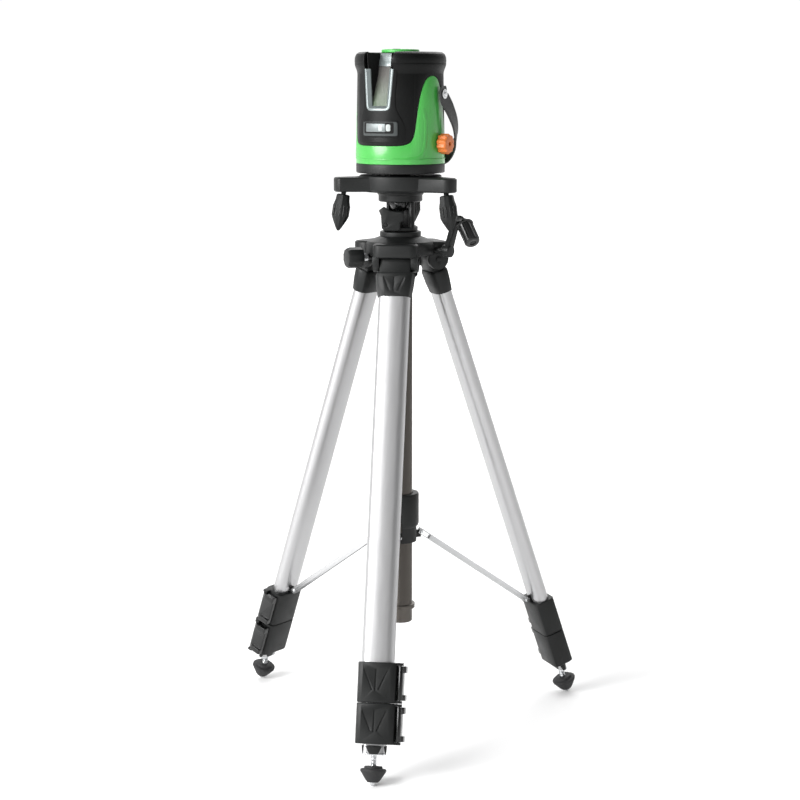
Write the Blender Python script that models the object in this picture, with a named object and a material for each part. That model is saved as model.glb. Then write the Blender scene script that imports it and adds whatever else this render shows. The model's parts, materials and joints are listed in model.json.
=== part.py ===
"""Cross-line laser level standing on a small three-section elevator tripod.

Metres, +Z up.  The origin is on the ground under the middle of the box; the
tripod's own axis stands AXIS_Y behind it.  The front leg points to -Y.
"""
import math

import bmesh
import bpy
from mathutils import Matrix, Vector

MM = 0.001
GAP = 0.3 * MM

# ---- driving dimensions -------------------------------------------------
AXIS_Y = 50.9 * MM
FOOT_RADIUS = 233.1 * MM
LEG_TILT = math.radians(18.94)
HINGE_ALONG = 600.0 * MM
LEG_AZIMUTHS = {"front": -90.0, "right": 30.0, "left": 150.0}

UPPER_TUBE = (18.0 * MM, 37.5 * MM)
MIDDLE_TUBE = (13.6 * MM, 31.6 * MM)
LOWER_TUBE = (9.8 * MM, 27.0 * MM)
TUBE_WALL = 1.2 * MM

CENTRE_TUBE_R = 14.5 * MM
CENTRE_TUBE_BOTTOM = 122.0 * MM
COLUMN_R = 12.0 * MM
COLUMN_BORE_R = 9.2 * MM
COLUMN_BOTTOM = 150.0 * MM
RACK_BOTTOM = 363.0 * MM
RACK_TOP = 590.0 * MM
HUB_PIVOT_R = 26.5 * MM
HUB_PIVOT_Z = 232.0 * MM
SLOT_TRAVEL = 12.6 * MM

CLAMP_LOWER = (46.5 * MM, 91.5 * MM)
CLAMP_UPPER = (92.0 * MM, 137.0 * MM)
LEG_TOP_BOTTOM = 557.0 * MM
EAR_INNER = 18.7 * MM
EAR_OUTER = 26.2 * MM
PIN_R = 3.0 * MM
LEVER_AXIS = (7.5 * MM, 27.1 * MM)
BRACE_PIN = (-16.8 * MM, 142.5 * MM)
BRACE_PIN_R = 1.1 * MM

GEAR_MODULE = 1.6 * MM
PINION_TEETH = 10
RACK_TIP = 10.8 * MM
CRANK_HEIGHT = 578.0 * MM
CRANK_AZIMUTH = -30.0
CRANK_REACH = 57.0 * MM
CRANK_LENGTH = 39.2 * MM
CRANK_ARM_ANGLE = 66.0
GRIP_TILT = 50.0
GRIP_RISE = 9.5 * MM
LOCK_AZIMUTH = -150.0
LOCK_HEIGHT = 570.5 * MM

YOKE_TURN = -35.3
YOKE_PILLAR_R = 17.7 * MM
PAN_PIVOT = (-14.0 * MM, 608.5 * MM)

CROWN_TOP = 600.0 * MM
PLATFORM_TOP = 646.5 * MM
BASE_BOTTOM = PLATFORM_TOP + GAP
BASE_TOP = 666.0 * MM
RING_BOTTOM = 669.0 * MM
RING_TOP = 680.0 * MM
CASE_R = 51.6 * MM
CASE_FOOT_R = 52.2 * MM
CASE_BORE_R = 47.0 * MM
CASE_TOP = 788.0 * MM
RIM_TOP = 808.0 * MM
KEYPAD_TOP = 811.0 * MM
KEYPAD_R = 22.0 * MM
LASER_TURN = -23.3
BASE_TURN = -3.4
ARM_PITCH_R = 70.0 * MM
ARM_TIP_R = 81.0 * MM
SCREW_SPLAY = 9.5
PENDULUM_Z = 774.0 * MM
KNOB_AT = (51.5 * MM, 4.0 * MM, 703.0 * MM)
BAIL_AXIS = (0.0, 6.0 * MM, 760.0 * MM)

# Joint between green case and black cover: (degrees off the front, height in mm).
# The case rises to an arch under each rivet of the bail.
PARTING = (
    (0, 701.2), (9, 701.2), (18, 701.2), (27, 701.3), (35, 702.0), (39.5, 703.2), (43, 704.8), (45.5, 707.2),
    (47.6, 710.6), (49.2, 715.0), (50.3, 720.0), (51.4, 727.0), (53.2, 737.0), (54.6, 745.0),
    (56.3, 753.5), (58.7, 761.5), (61.8, 769.0), (65.2, 774.6), (69.4, 778.4), (74.0, 780.3),
    (79.0, 780.8), (84.0, 780.0), (88.4, 777.8), (92.2, 773.8), (95.6, 768.6), (99.0, 761.5),
    (102.4, 753.0), (105.8, 743.0), (109.0, 732.0), (112.0, 721.0), (115.0, 712.0), (118.5, 706.0),
    (123.0, 702.8), (130.0, 701.5), (138.0, 701.2), (146.0, 701.2), (154.5, 701.2), (163.0, 701.2),
    (171.5, 701.2), (180, 701.2),
)
PARTING_EASE = 0.25
BAIL_PATH = ((54.1, 6.0, 769.6), (54.1, 6.0, 767.6), (54.1, 6.0, 764.0), (54.2, 6.2, 759.0),
             (55.3, 10.5, 751.5), (57.2, 18.0, 741.0), (57.6, 29.5, 724.0), (51.5, 40.5, 705.0),
             (36.5, 49.0, 690.5), (19.0, 56.5, 685.0), (0.0, 59.0, 683.5))
BAIL_HALF = (4.6 * MM, 8.2 * MM, 10.4 * MM, 10.8 * MM)

MATERIALS = {
    "silver_tube": ((0.72, 0.73, 0.75), 0.35, 0.9),
    "brace_alloy": ((0.62, 0.63, 0.65), 0.35, 0.9),
    "steel": ((0.60, 0.61, 0.63), 0.25, 1.0),
    "black_plastic": ((0.022, 0.022, 0.024), 0.5, 0.0),
    "black_rubber": ((0.015, 0.015, 0.016), 0.8, 0.0),
    "green_plastic": ((0.05, 0.50, 0.06), 0.4, 0.0),
    "orange_plastic": ((0.85, 0.25, 0.03), 0.45, 0.0),
    "window_glass": ((0.55, 0.56, 0.46), 0.1, 0.0),
}


# ---- mesh tools -----------------------------------------------------------
def clear_scene():
    for obj in list(bpy.data.objects):
        bpy.data.objects.remove(obj, do_unlink=True)


def finish(bm, name):
    bmesh.ops.recalc_face_normals(bm, faces=bm.faces)
    mesh = bpy.data.meshes.new(name)
    bm.to_mesh(mesh)
    bm.free()
    return mesh


def loft(rings, name="loft", loop=False):
    """Skin between rings of equal length; loop joins the last to the first."""
    bm = bmesh.new()
    rows = [[bm.verts.new(p) for p in ring] for ring in rings]
    count = len(rows[0])
    pairs = list(zip(rows, rows[1:]))
    if loop:
        pairs.append((rows[-1], rows[0]))
    for low, high in pairs:
        for i in range(count):
            j = (i + 1) % count
            bm.faces.new((low[i], low[j], high[j], high[i]))
    if not loop:
        bm.faces.new(rows[0])
        bm.faces.new(rows[-1])
    return finish(bm, name)


def circle(radius, z, steps=24, lobes=0, depth=0.0):
    """A ring about Z; lobes cut shallow flutes into it."""
    points = []
    for i in range(steps):
        angle = 2 * math.pi * i / steps
        r = radius - depth * (0.5 - 0.5 * math.cos(lobes * angle)) if lobes else radius
        points.append(Vector((r * math.cos(angle), r * math.sin(angle), z)))
    return points


def turned(profile, steps=24, lobes=0, depth=0.0):
    """A solid of revolution from (radius, z) points with flat ends."""
    return loft([circle(r, z, steps, lobes, depth) for r, z in profile], "turned")


def turned_ring(profile, steps=24):
    """A ring of revolution from a closed loop of (radius, z) points."""
    return loft([circle(r, z, steps) for r, z in profile], "ring", loop=True)


def oval(depth, width, z, seg=6):
    """A flat oval with half-round ends: depth along X, width along Y."""
    r = depth / 2
    straight = width / 2 - r
    points = []
    for side in (1, -1):
        for i in range(seg + 1):
            angle = math.pi * i / seg
            y = straight + r * math.sin(angle)
            points.append(Vector((r * math.cos(angle) * side, y * side, z)))
    return points


def rounded(x0, x1, y0, y1, radius, z, seg=2):
    """A rectangle with rounded corners."""
    points = []
    corners = ((x1, y1, 0), (x0, y1, 90), (x0, y0, 180), (x1, y0, 270))
    for cx, cy, start in corners:
        px = cx - math.copysign(radius, cx - (x0 + x1) / 2)
        py = cy - math.copysign(radius, cy - (y0 + y1) / 2)
        for i in range(seg + 1):
            angle = math.radians(start + 90 * i / seg)
            x, y = px + radius * math.cos(angle), py + radius * math.sin(angle)
            points.append(Vector((x, y, z)))
    return points


def block(x0, x1, y0, y1, z0, z1):
    corners = ((x0, y0), (x1, y0), (x1, y1), (x0, y1))
    return loft([[Vector((x, y, z)) for x, y in corners] for z in (z0, z1)], "block")


def soft_block(x0, x1, y0, y1, z0, z1, radius, edge, seg=2):
    """A block with rounded upright corners and small chamfers at both ends."""
    rings = []
    for z, inset in ((z0, edge), (z0 + edge, 0.0), (z1 - edge, 0.0), (z1, edge)):
        rings.append(rounded(x0 + inset, x1 - inset, y0 + inset, y1 - inset, radius, z, seg))
    return loft(rings, "soft_block")


def prism(outline, z0, z1):
    return loft([[Vector((x, y, z)) for x, y in outline] for z in (z0, z1)], "prism")


def moved(mesh, matrix):
    mesh = mesh.copy()
    mesh.transform(matrix)
    return mesh


def shift(x=0.0, y=0.0, z=0.0):
    return Matrix.Translation((x, y, z))


def turn(degrees, axis):
    return Matrix.Rotation(math.radians(degrees), 4, axis)


def rod(start, end, radius, steps=12):
    """A round rod between two points."""
    start = Vector(start)
    along = Vector(end) - start
    aim = along.to_track_quat("Z", "Y").to_matrix().to_4x4()
    mesh = turned([(radius, 0.0), (radius, along.length)], steps)
    mesh.transform(Matrix.Translation(start) @ aim)
    return mesh


def combine(mesh, others, operation):
    """Exact boolean of a mesh with several others, as a new mesh."""
    base = bpy.data.objects.new("base", mesh)
    bpy.context.scene.collection.objects.link(base)
    helpers = [base]
    for other in others:
        tool = bpy.data.objects.new("tool", other)
        bpy.context.scene.collection.objects.link(tool)
        helpers.append(tool)
        modifier = base.modifiers.new("cut", "BOOLEAN")
        modifier.operation = operation
        modifier.object = tool
    bpy.context.view_layer.update()
    graph = bpy.context.evaluated_depsgraph_get()
    result = bpy.data.meshes.new_from_object(base.evaluated_get(graph))
    for helper in helpers:
        bpy.data.objects.remove(helper, do_unlink=True)
    return result


def cut(mesh, *tools):
    return combine(mesh, tools, "DIFFERENCE")


def join(mesh, *others):
    return combine(mesh, others, "UNION")


def material(slot):
    found = bpy.data.materials.get(slot)
    if found:
        return found
    colour, roughness, metallic = MATERIALS[slot]
    made = bpy.data.materials.new(slot)
    made.use_nodes = True
    shader = made.node_tree.nodes["Principled BSDF"]
    shader.inputs["Base Color"].default_value = (*colour, 1.0)
    shader.inputs["Roughness"].default_value = roughness
    shader.inputs["Metallic"].default_value = metallic
    return made


def empty(name, parent=None, location=(0, 0, 0), rotation=(0, 0, 0)):
    obj = bpy.data.objects.new(name, None)
    obj.empty_display_size = 0.02
    bpy.context.scene.collection.objects.link(obj)
    obj.parent = parent
    obj.location = location
    obj.rotation_euler = rotation
    return obj


def place(name, mesh, slot, parent, location=(0, 0, 0), rotation=(0, 0, 0)):
    obj = bpy.data.objects.new(name, mesh.copy())
    obj.data.name = name
    bpy.context.scene.collection.objects.link(obj)
    obj.parent = parent
    obj.location = location
    obj.rotation_euler = rotation
    obj.data.materials.clear()
    obj.data.materials.append(material(slot))
    obj.data.shade_smooth()
    obj.data.set_sharp_from_angle(angle=math.radians(35))
    return obj


# ---- legs -------------------------------------------------------------------
# Leg parts are drawn in the leg's own frame: origin on the hinge pin, X out,
# Y along the pin, Z up the leg.  "along" is measured from the foot's tip.
def leg_z(along):
    return along - HINGE_ALONG


def fan_grooves(face_x, z_mid, height, width):
    """Three thin wedges that fan out upwards, to be cut from a face."""
    tools = []
    for lean in (-24, 0, 24):
        wedge = block(-1.0 * MM, 1.0 * MM, -width / 2, width / 2, -height / 2, height / 2)
        tools.append(moved(wedge, shift(face_x, -lean / 24 * 8.5 * MM, z_mid) @ turn(lean, "X")))
    return tools


def leg_top_mesh():
    neck = []
    for i in range(7):
        angle = math.radians(80 - 80 * i / 6)
        neck.append((8.2 * MM * math.sin(angle), 8.2 * MM * math.cos(angle)))
    rings = []
    for z, half in neck:
        rings.append(rounded(-half, half, -18.3 * MM, 18.3 * MM, min(half, 1.5 * MM) * 0.9, z))
    shape = ((-15.0, 8.2, 18.3, 1.35), (-15.0, 10.2, 22.2, 8.0), (-17.5, 11.4, 23.1, 9.5),
             (-30.0, 11.2, 22.0, 9.5), (-43.0, 10.1, 19.8, 9.0))
    for z, depth, width, corner in shape:
        x, y = depth * MM, width * MM
        rings.append(rounded(-x, x, -y, y, corner * MM, z * MM))
    plug = [d / 2 - TUBE_WALL - 3 * GAP for d in UPPER_TUBE]
    for z in (-43.0 * MM, -62.0 * MM):
        rings.append(rounded(-plug[0], plug[0], -plug[1], plug[1], plug[0] - 0.1 * MM, z))
    body = loft(rings, "leg_top")
    pin = rod((0, -25.5 * MM, 0), (0, 25.5 * MM, 0), PIN_R)
    body = join(body, pin)
    grooves = fan_grooves(11.5 * MM, -29.0 * MM, 17.0 * MM, 2.0 * MM)
    return cut(body, *grooves)


def oval_tube(size, bottom, top, collar=None):
    """A flat-oval tube; collar widens its last 12 mm into a guide."""
    depth, width = size
    wall = 2 * TUBE_WALL
    zb, zt = leg_z(bottom), leg_z(top)
    rings = [oval(depth, width, zb)]
    if collar:
        step = zt - 12.0 * MM
        rings += [oval(depth, width, step), oval(*collar, step), oval(*collar, zt)]
    else:
        rings.append(oval(depth, width, zt))
    rings.append(oval(depth - wall, width - wall, zt))
    rings.append(oval(depth - wall, width - wall, zb))
    return loft(rings, "oval_tube", loop=True)


def clamp_mesh(span, holds, passes, with_lug):
    """A flip-lock clamp: holds one tube's end and lets the next one through."""
    z0, z1 = leg_z(span[0]), leg_z(span[1])
    shelf = z0 + 7.5 * MM
    body = soft_block(-13.5 * MM, 13.5 * MM, -21.2 * MM, 23.8 * MM, z0, z1, 6.0 * MM, 0.8 * MM)
    lugs = []
    for low, high in ((z0, z0 + 3.0 * MM), (z1 - 3.0 * MM, z1)):
        lugs.append(block(4.5 * MM, 10.4 * MM, 20.0 * MM, 30.0 * MM, low, high))
    lugs.append(rod((*LEVER_AXIS, z0 + 1.0 * MM), (*LEVER_AXIS, z1 - 1.0 * MM), 1.2 * MM, 8))
    if with_lug:
        x, along = BRACE_PIN
        z = leg_z(along)
        lugs.append(block(-12.4 * MM, -9.4 * MM, -1.5 * MM, 1.5 * MM, z1 - 14.0 * MM, z + 2.6 * MM))
        lugs.append(block(x, -11.0 * MM, -1.4 * MM, 1.4 * MM, z - 2.2 * MM, z + 2.2 * MM))
        lugs.append(rod((x, -1.5 * MM, z), (x, 1.5 * MM, z), 2.3 * MM, 12))
        lugs.append(rod((x, -4.4 * MM, z), (x, 4.4 * MM, z), BRACE_PIN_R, 8))
    body = join(body, *lugs)
    room = 2 * GAP
    socket = loft([oval(holds[0] + room, holds[1] + room, z) for z in (shelf, z1 + 20 * MM)])
    throat = loft([oval(passes[0] + room, passes[1] + room, z) for z in (z0 - MM, shelf + MM)])
    grooves = fan_grooves(13.6 * MM, (z0 + z1) / 2 + 3 * MM, 24.0 * MM, 2.0 * MM)
    return cut(body, socket, throat, *grooves)


def lever_mesh(height):
    """A flip lever about its own hinge line, with a thumb tab at each end."""
    tab = 5.9 * MM
    rings = []
    for z, out in ((0.0, tab), (6.0 * MM, tab), (6.8 * MM, 2.9 * MM),
                   (height - 7.8 * MM, 2.9 * MM), (height - 7.0 * MM, tab), (height, tab)):
        ring = [Vector((-17.5 * MM, -2.9 * MM, z))]
        for i in range(7):
            angle = math.radians(-90 + 30 * i)
            ring.append(Vector((2.9 * MM * math.cos(angle), 2.9 * MM * math.sin(angle), z)))
        ring.append(Vector((-2.5 * MM, out, z)))
        ring.append(Vector((-16.5 * MM, out, z)))
        ring.append(Vector((-17.5 * MM, out - MM, z)))
        rings.append(ring)
    body = loft(rings, "lever")
    return cut(body, rod((0, 0, -MM), (0, 0, height + MM), 1.55 * MM, 8))


def spike_mesh():
    """Threaded rod with a blunt steel tip, and the plug that holds it."""
    tip_r = 3.0 * MM
    centre = (tip_r - 0.3 * MM) / math.cos(LEG_TILT)
    profile = []
    for i in range(1, 5):
        angle = math.radians(90 * i / 4)
        profile.append((tip_r * math.sin(angle), centre - tip_r * math.cos(angle)))
    rod_body = turned([(r, leg_z(z)) for r, z in profile] + [(tip_r, leg_z(45.0 * MM))], 12)
    flange = loft([oval(*LOWER_TUBE, leg_z(z)) for z in (34.2 * MM, 36.2 * MM)])
    size = [d - 2 * TUBE_WALL - 2 * GAP for d in LOWER_TUBE]
    plug = loft([oval(*size, leg_z(z)) for z in (35.5 * MM, 50.0 * MM)])
    body = join(rod_body, flange, plug)
    bm = bmesh.new()
    bm.from_mesh(body)
    up = Vector((math.sin(LEG_TILT), 0, math.cos(LEG_TILT)))
    ground = up * -math.cos(LEG_TILT) * HINGE_ALONG
    sliced = bmesh.ops.bisect_plane(
        bm, geom=bm.verts[:] + bm.edges[:] + bm.faces[:],
        plane_co=ground, plane_no=-up, clear_outer=True)
    rim = [e for e in sliced["geom_cut"] if isinstance(e, bmesh.types.BMEdge)]
    bmesh.ops.holes_fill(bm, edges=rim)
    return finish(bm, "spike")


def rubber_foot_mesh():
    loop = ((3.4, 4.2), (6.2, 4.2), (9.0, 7.5), (14.8, 16.5), (14.8, 18.6), (12.8, 19.4),
            (10.6, 19.4), (10.2, 22.0), (3.4, 22.0))
    return turned_ring([(r * MM, leg_z(z * MM)) for r, z in loop], 16)


def brace_length():
    inner, outer = brace_ends()
    return (outer - inner).length


def brace_ends():
    """The two pivots of a brace at rest, as (radius, height)."""
    x, along = BRACE_PIN
    z = leg_z(along)
    s, c = math.sin(LEG_TILT), math.cos(LEG_TILT)
    outer = hinge_point() + Vector((c * x - s * z, s * x + c * z))
    return Vector((HUB_PIVOT_R, HUB_PIVOT_Z)), outer


def hinge_point():
    s, c = math.sin(LEG_TILT), math.cos(LEG_TILT)
    return Vector((FOOT_RADIUS - s * HINGE_ALONG, c * HINGE_ALONG))


def brace_mesh():
    """A channel brace with its leg pin at the origin and the hub's pin at -X.

    It is open below, slotted where it rides on the hub's pin, and its web is
    cut back over the lug at each end.
    """
    length = brace_length()
    half, web = 3.4 * MM, 1.0 * MM
    outer, inner = 3.5 * MM, 2.5 * MM
    section = ((-outer, -half), (-outer, half), (outer, half), (outer, -half),
               (inner, -half), (inner, half - web), (-inner, half - web), (-inner, -half))
    rings = [[Vector((x, y, z)) for y, z in section] for x in (-length - 2.6 * MM, 2.8 * MM)]
    body = loft(rings, "brace")
    hole = rod((0, -5 * MM, 0), (0, 5 * MM, 0), 1.45 * MM, 10)
    half_slot = BRACE_PIN_R + 1.3 * MM
    slot = block(-length - BRACE_PIN_R - 0.4 * MM, -length + SLOT_TRAVEL + BRACE_PIN_R + 0.4 * MM,
                 -5 * MM, 5 * MM, -half_slot, half_slot - 0.2 * MM)
    mouths = []
    for x0, x1 in ((-6.5 * MM, 4.0 * MM), (-length - 4.0 * MM, -length + SLOT_TRAVEL + 3.6 * MM)):
        mouths.append(block(x0, x1, -inner - 0.2 * MM, inner + 0.2 * MM, half - 1.4 * MM, half + MM))
    return cut(body, hole, slot, *mouths)


def make_legs(axis):
    point = hinge_point()
    top = leg_top_mesh()
    upper = oval_tube(UPPER_TUBE, CLAMP_UPPER[0] + 8.0 * MM, LEG_TOP_BOTTOM - GAP)
    middle = oval_tube(MIDDLE_TUBE, CLAMP_LOWER[0] + 8.0 * MM, 500.0 * MM, (15.0 * MM, 34.4 * MM))
    lower = oval_tube(LOWER_TUBE, 36.6 * MM, 470.0 * MM, (10.6 * MM, 28.6 * MM))
    clamp_upper = clamp_mesh(CLAMP_UPPER, UPPER_TUBE, MIDDLE_TUBE, True)
    clamp_lower = clamp_mesh(CLAMP_LOWER, MIDDLE_TUBE, LOWER_TUBE, False)
    lever = lever_mesh(CLAMP_UPPER[1] - CLAMP_UPPER[0] - 6.8 * MM)
    spike = spike_mesh()
    rubber = rubber_foot_mesh()
    brace = brace_mesh()
    inner, outer = brace_ends()
    slope = math.atan2(inner.y - outer.y, outer.x - inner.x)
    for side, azimuth in LEG_AZIMUTHS.items():
        heading = math.radians(azimuth)
        hinge = empty(f"{side}_hinge", axis,
                      (point.x * math.cos(heading), point.x * math.sin(heading), point.y),
                      (0, -LEG_TILT, heading))
        place(f"{side}_leg_top", top, "black_plastic", hinge)
        place(f"{side}_upper_tube", upper, "silver_tube", hinge)
        place(f"{side}_upper_clamp", clamp_upper, "black_plastic", hinge)
        place(f"{side}_middle_tube", middle, "silver_tube", hinge)
        place(f"{side}_lower_clamp", clamp_lower, "black_plastic", hinge)
        place(f"{side}_lower_tube", lower, "silver_tube", hinge)
        place(f"{side}_foot_spike", spike, "steel", hinge)
        place(f"{side}_rubber_foot", rubber, "black_rubber", hinge)
        for which, span in (("upper", CLAMP_UPPER), ("lower", CLAMP_LOWER)):
            spot = (*LEVER_AXIS, leg_z(span[0]) + 3.4 * MM)
            place(f"{side}_{which}_lever", lever, "black_plastic", hinge, spot)
        pivot = empty(f"{side}_brace_pivot", axis,
                      (outer.x * math.cos(heading), outer.x * math.sin(heading), outer.y),
                      (0, slope, heading))
        place(f"{side}_brace", brace, "brace_alloy", pivot)


# ---- crown, centre tube and spreader ----------------------------------------
def crown_mesh():
    profile = ((19.0, 546.0), (20.5, 548.0), (20.5, 570.0), (39.0, 572.0), (41.5, 574.0),
               (41.5, 585.0), (39.0, 588.5), (24.0, 594.2), (24.5, 594.6), (24.5, 599.2),
               (23.8, 600.0))
    body = turned([(r * MM, z * MM) for r, z in profile], 32)
    point = hinge_point()
    extras, slots = [], []
    for azimuth in LEG_AZIMUTHS.values():
        swing = turn(azimuth, "Z")
        lobe = soft_block(28 * MM, 53.0 * MM, -26.4 * MM, 26.4 * MM, 571.8 * MM, 588.0 * MM,
                          9.0 * MM, 1.6 * MM, 3)
        extras.append(moved(lobe, swing))
        for y0, y1 in ((18.2 * MM, EAR_OUTER), (-EAR_OUTER, -18.2 * MM)):
            ear = rod((point.x, y0, point.y), (point.x, y1, point.y), 12.6 * MM, 16)
            extras.append(moved(ear, swing))
        step = ((24.5, 540.0), (70.0, 540.0), (70.0, 572.3), (49.6, 572.3), (49.6, 578.0),
                (24.5, 578.0))
        slot = loft([[Vector((x * MM, y, z * MM)) for x, z in step]
                     for y in (-EAR_INNER, EAR_INNER)])
        hole = rod((point.x, -30 * MM, point.y), (point.x, 30 * MM, point.y), PIN_R + 0.35 * MM, 12)
        slots += [moved(slot, swing), moved(hole, swing)]
    body = join(body, *extras)
    bore = turned([(COLUMN_R + 0.6 * MM, 530 * MM), (COLUMN_R + 0.6 * MM, 610 * MM)], 24)
    seat = turned([(CENTRE_TUBE_R + 0.5 * MM, 530 * MM), (CENTRE_TUBE_R + 0.5 * MM, 562.3 * MM)], 24)
    pitch_r = GEAR_MODULE * PINION_TEETH / 2
    to_rack = turn(CRANK_AZIMUTH + 90, "Z")
    reach = RACK_TIP - 0.8 * GEAR_MODULE + pitch_r + 10.6 * MM
    gearbox = block(0, reach, -6.0 * MM, 6.0 * MM, CRANK_HEIGHT - 10.6 * MM, CRANK_HEIGHT + 9.9 * MM)
    shaft = rod((pinion_offset(), 0, CRANK_HEIGHT), (pinion_offset(), -70 * MM, CRANK_HEIGHT),
                3.4 * MM, 16)
    stud = moved(rod((5 * MM, 0, LOCK_HEIGHT), (70 * MM, 0, LOCK_HEIGHT), 3.4 * MM, 16),
                 turn(LOCK_AZIMUTH, "Z"))
    tools = [bore, seat, moved(gearbox, to_rack), moved(shaft, to_rack), stud]
    return cut(body, *tools, *slots)


def pinion_offset():
    """Distance of the pinion's axis from the column's axis."""
    return RACK_TIP - 0.8 * GEAR_MODULE + GEAR_MODULE * PINION_TEETH / 2


def centre_tube_mesh():
    r, low, high = CENTRE_TUBE_R, CENTRE_TUBE_BOTTOM, 562.0 * MM
    loop = ((r - 1.0 * MM, low), (r - 0.6 * MM, low), (r, low + 0.8 * MM), (r, low + 17.0 * MM),
            (r + 3.2 * MM, low + 17.0 * MM), (r + 3.2 * MM, low + 22.0 * MM), (r, low + 22.0 * MM),
            (r, high), (r - 1.0 * MM, high))
    return turned_ring(loop, 24)


def spreader_hub_mesh():
    """A sleeve on the centre tube, grooved and windowed behind each brace."""
    bore = CENTRE_TUBE_R / MM + 0.6
    loop = ((bore, 223.0), (19.6, 223.0), (19.6, 241.0), (21.5, 243.0), (22.5, 246.0), (22.5, 281.0),
            (21.5, 283.0), (bore, 283.0))
    loop = [(r * MM, z * MM) for r, z in loop]
    body = turned_ring(loop, 24)
    extras, grooves = [], []
    for azimuth in LEG_AZIMUTHS.values():
        swing = turn(azimuth, "Z")
        lug = block(15.6 * MM, HUB_PIVOT_R, -1.5 * MM, 1.5 * MM, HUB_PIVOT_Z - 7.0 * MM,
                    HUB_PIVOT_Z + 2.0 * MM)
        eye = rod((HUB_PIVOT_R, -1.6 * MM, HUB_PIVOT_Z), (HUB_PIVOT_R, 1.6 * MM, HUB_PIVOT_Z), 2.25 * MM, 12)
        pin = rod((HUB_PIVOT_R, -4.4 * MM, HUB_PIVOT_Z), (HUB_PIVOT_R, 4.4 * MM, HUB_PIVOT_Z),
                  BRACE_PIN_R, 8)
        extras += [moved(lug, swing), moved(eye, swing), moved(pin, swing)]
        groove = block(17.6 * MM, 30.0 * MM, -4.3 * MM, 4.3 * MM, 215.0 * MM, 264.0 * MM)
        window = block(13.0 * MM, 18.5 * MM, -4.0 * MM, 4.0 * MM, 236.0 * MM, 249.0 * MM)
        grooves += [moved(groove, swing), moved(window, swing)]
    return join(cut(body, *grooves), *extras)


# ---- elevator column, rack and crank -----------------------------------------
def column_mesh():
    """The column tube with a toothed rack let into one side, facing +X."""
    loop = ((COLUMN_BORE_R, COLUMN_BOTTOM), (COLUMN_R, COLUMN_BOTTOM), (COLUMN_R, CROWN_TOP),
            (COLUMN_BORE_R, CROWN_TOP))
    tube = turned_ring(loop, 24)
    window = block(5.0 * MM, 20 * MM, -4.6 * MM, 4.6 * MM, RACK_BOTTOM + 1.0 * MM, RACK_TOP - 1.0 * MM)
    tube = cut(tube, window)
    pitch = math.pi * GEAR_MODULE
    tip, root = RACK_TIP, RACK_TIP - 1.9 * GEAR_MODULE
    outline = [(5.2 * MM, RACK_BOTTOM), (root, RACK_BOTTOM)]
    first = math.ceil((RACK_BOTTOM - CRANK_HEIGHT) / pitch)
    last = math.floor((RACK_TOP - CRANK_HEIGHT) / pitch)
    for n in range(first, last + 1):
        middle = CRANK_HEIGHT + n * pitch
        foot, crest = 0.27 * pitch, 0.12 * pitch
        if middle - foot < RACK_BOTTOM + MM or middle + foot > RACK_TOP - MM:
            continue
        outline += [(root, middle - foot), (tip, middle - crest), (tip, middle + crest),
                    (root, middle + foot)]
    outline += [(root, RACK_TOP), (5.2 * MM, RACK_TOP)]
    strip = loft([[Vector((x, y, z)) for x, z in outline] for y in (-5.0 * MM, 5.0 * MM)])
    return join(tube, strip)


def pinion_mesh():
    """Pinion and shaft about Z; the shaft runs out to the crank along +Z."""
    pitch_r = GEAR_MODULE * PINION_TEETH / 2
    tip, root = pitch_r + 0.8 * GEAR_MODULE, pitch_r - 1.1 * GEAR_MODULE
    step = 2 * math.pi / PINION_TEETH
    outline = []
    for n in range(PINION_TEETH):
        middle = (n + 0.5) * step
        for r, offset in ((root, -0.27), (tip, -0.09), (tip, 0.09), (root, 0.27)):
            angle = middle + offset * step
            outline.append((r * math.cos(angle), r * math.sin(angle)))
    gear = prism(outline, -4.0 * MM, 4.0 * MM)
    shaft = turned([(3.0 * MM, -5.5 * MM), (3.0 * MM, CRANK_REACH - 6.3 * MM)], 16)
    return join(gear, shaft)


def crank_arm_mesh():
    """Boss round the shaft's end, a tapering arm along +X and a clevis."""
    boss = turned([(6.6 * MM, -5.8 * MM), (7.4 * MM, -4.8 * MM), (7.4 * MM, 4.0 * MM),
                   (6.2 * MM, 5.0 * MM)], 20)
    length = CRANK_LENGTH
    outline = ((0, -5.4 * MM), (length, -4.4 * MM), (length, 4.4 * MM), (0, 5.4 * MM))
    arm = prism(outline, -3.0 * MM, 3.0 * MM)
    post = rod((length, 0, -3.0 * MM), (length, 0, 3.0 * MM), 4.4 * MM, 16)
    cheeks = []
    for side in (1, -1):
        y = side * 4.3 * MM
        cheek = rod((length, y - 1.2 * MM, GRIP_RISE), (length, y + 1.2 * MM, GRIP_RISE), 3.6 * MM, 14)
        web = block(length - 3.6 * MM, length + 3.6 * MM, y - 1.2 * MM, y + 1.2 * MM, 2.0 * MM, GRIP_RISE)
        cheeks += [cheek, web]
    pin = rod((length, -5.0 * MM, GRIP_RISE), (length, 5.0 * MM, GRIP_RISE), 1.2 * MM, 8)
    return join(boss, arm, post, pin, *cheeks)


def grip_spindle_mesh():
    """Tongue in the arm's clevis and the spindle that the grip turns on."""
    tongue = rod((0, -2.7 * MM, 0), (0, 2.7 * MM, 0), 3.2 * MM, 14)
    neck = rod((0, 0, 1.5 * MM), (0, 0, 6.0 * MM), 2.6 * MM, 12)
    pin = rod((0, 0, 4.0 * MM), (0, 0, 34.0 * MM), 2.0 * MM, 12)
    head = rod((0, 0, 33.6 * MM), (0, 0, 35.0 * MM), 3.4 * MM, 12)
    hole = rod((0, -5 * MM, 0), (0, 5 * MM, 0), 1.55 * MM, 10)
    return cut(join(tongue, neck, pin, head), hole)


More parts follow.
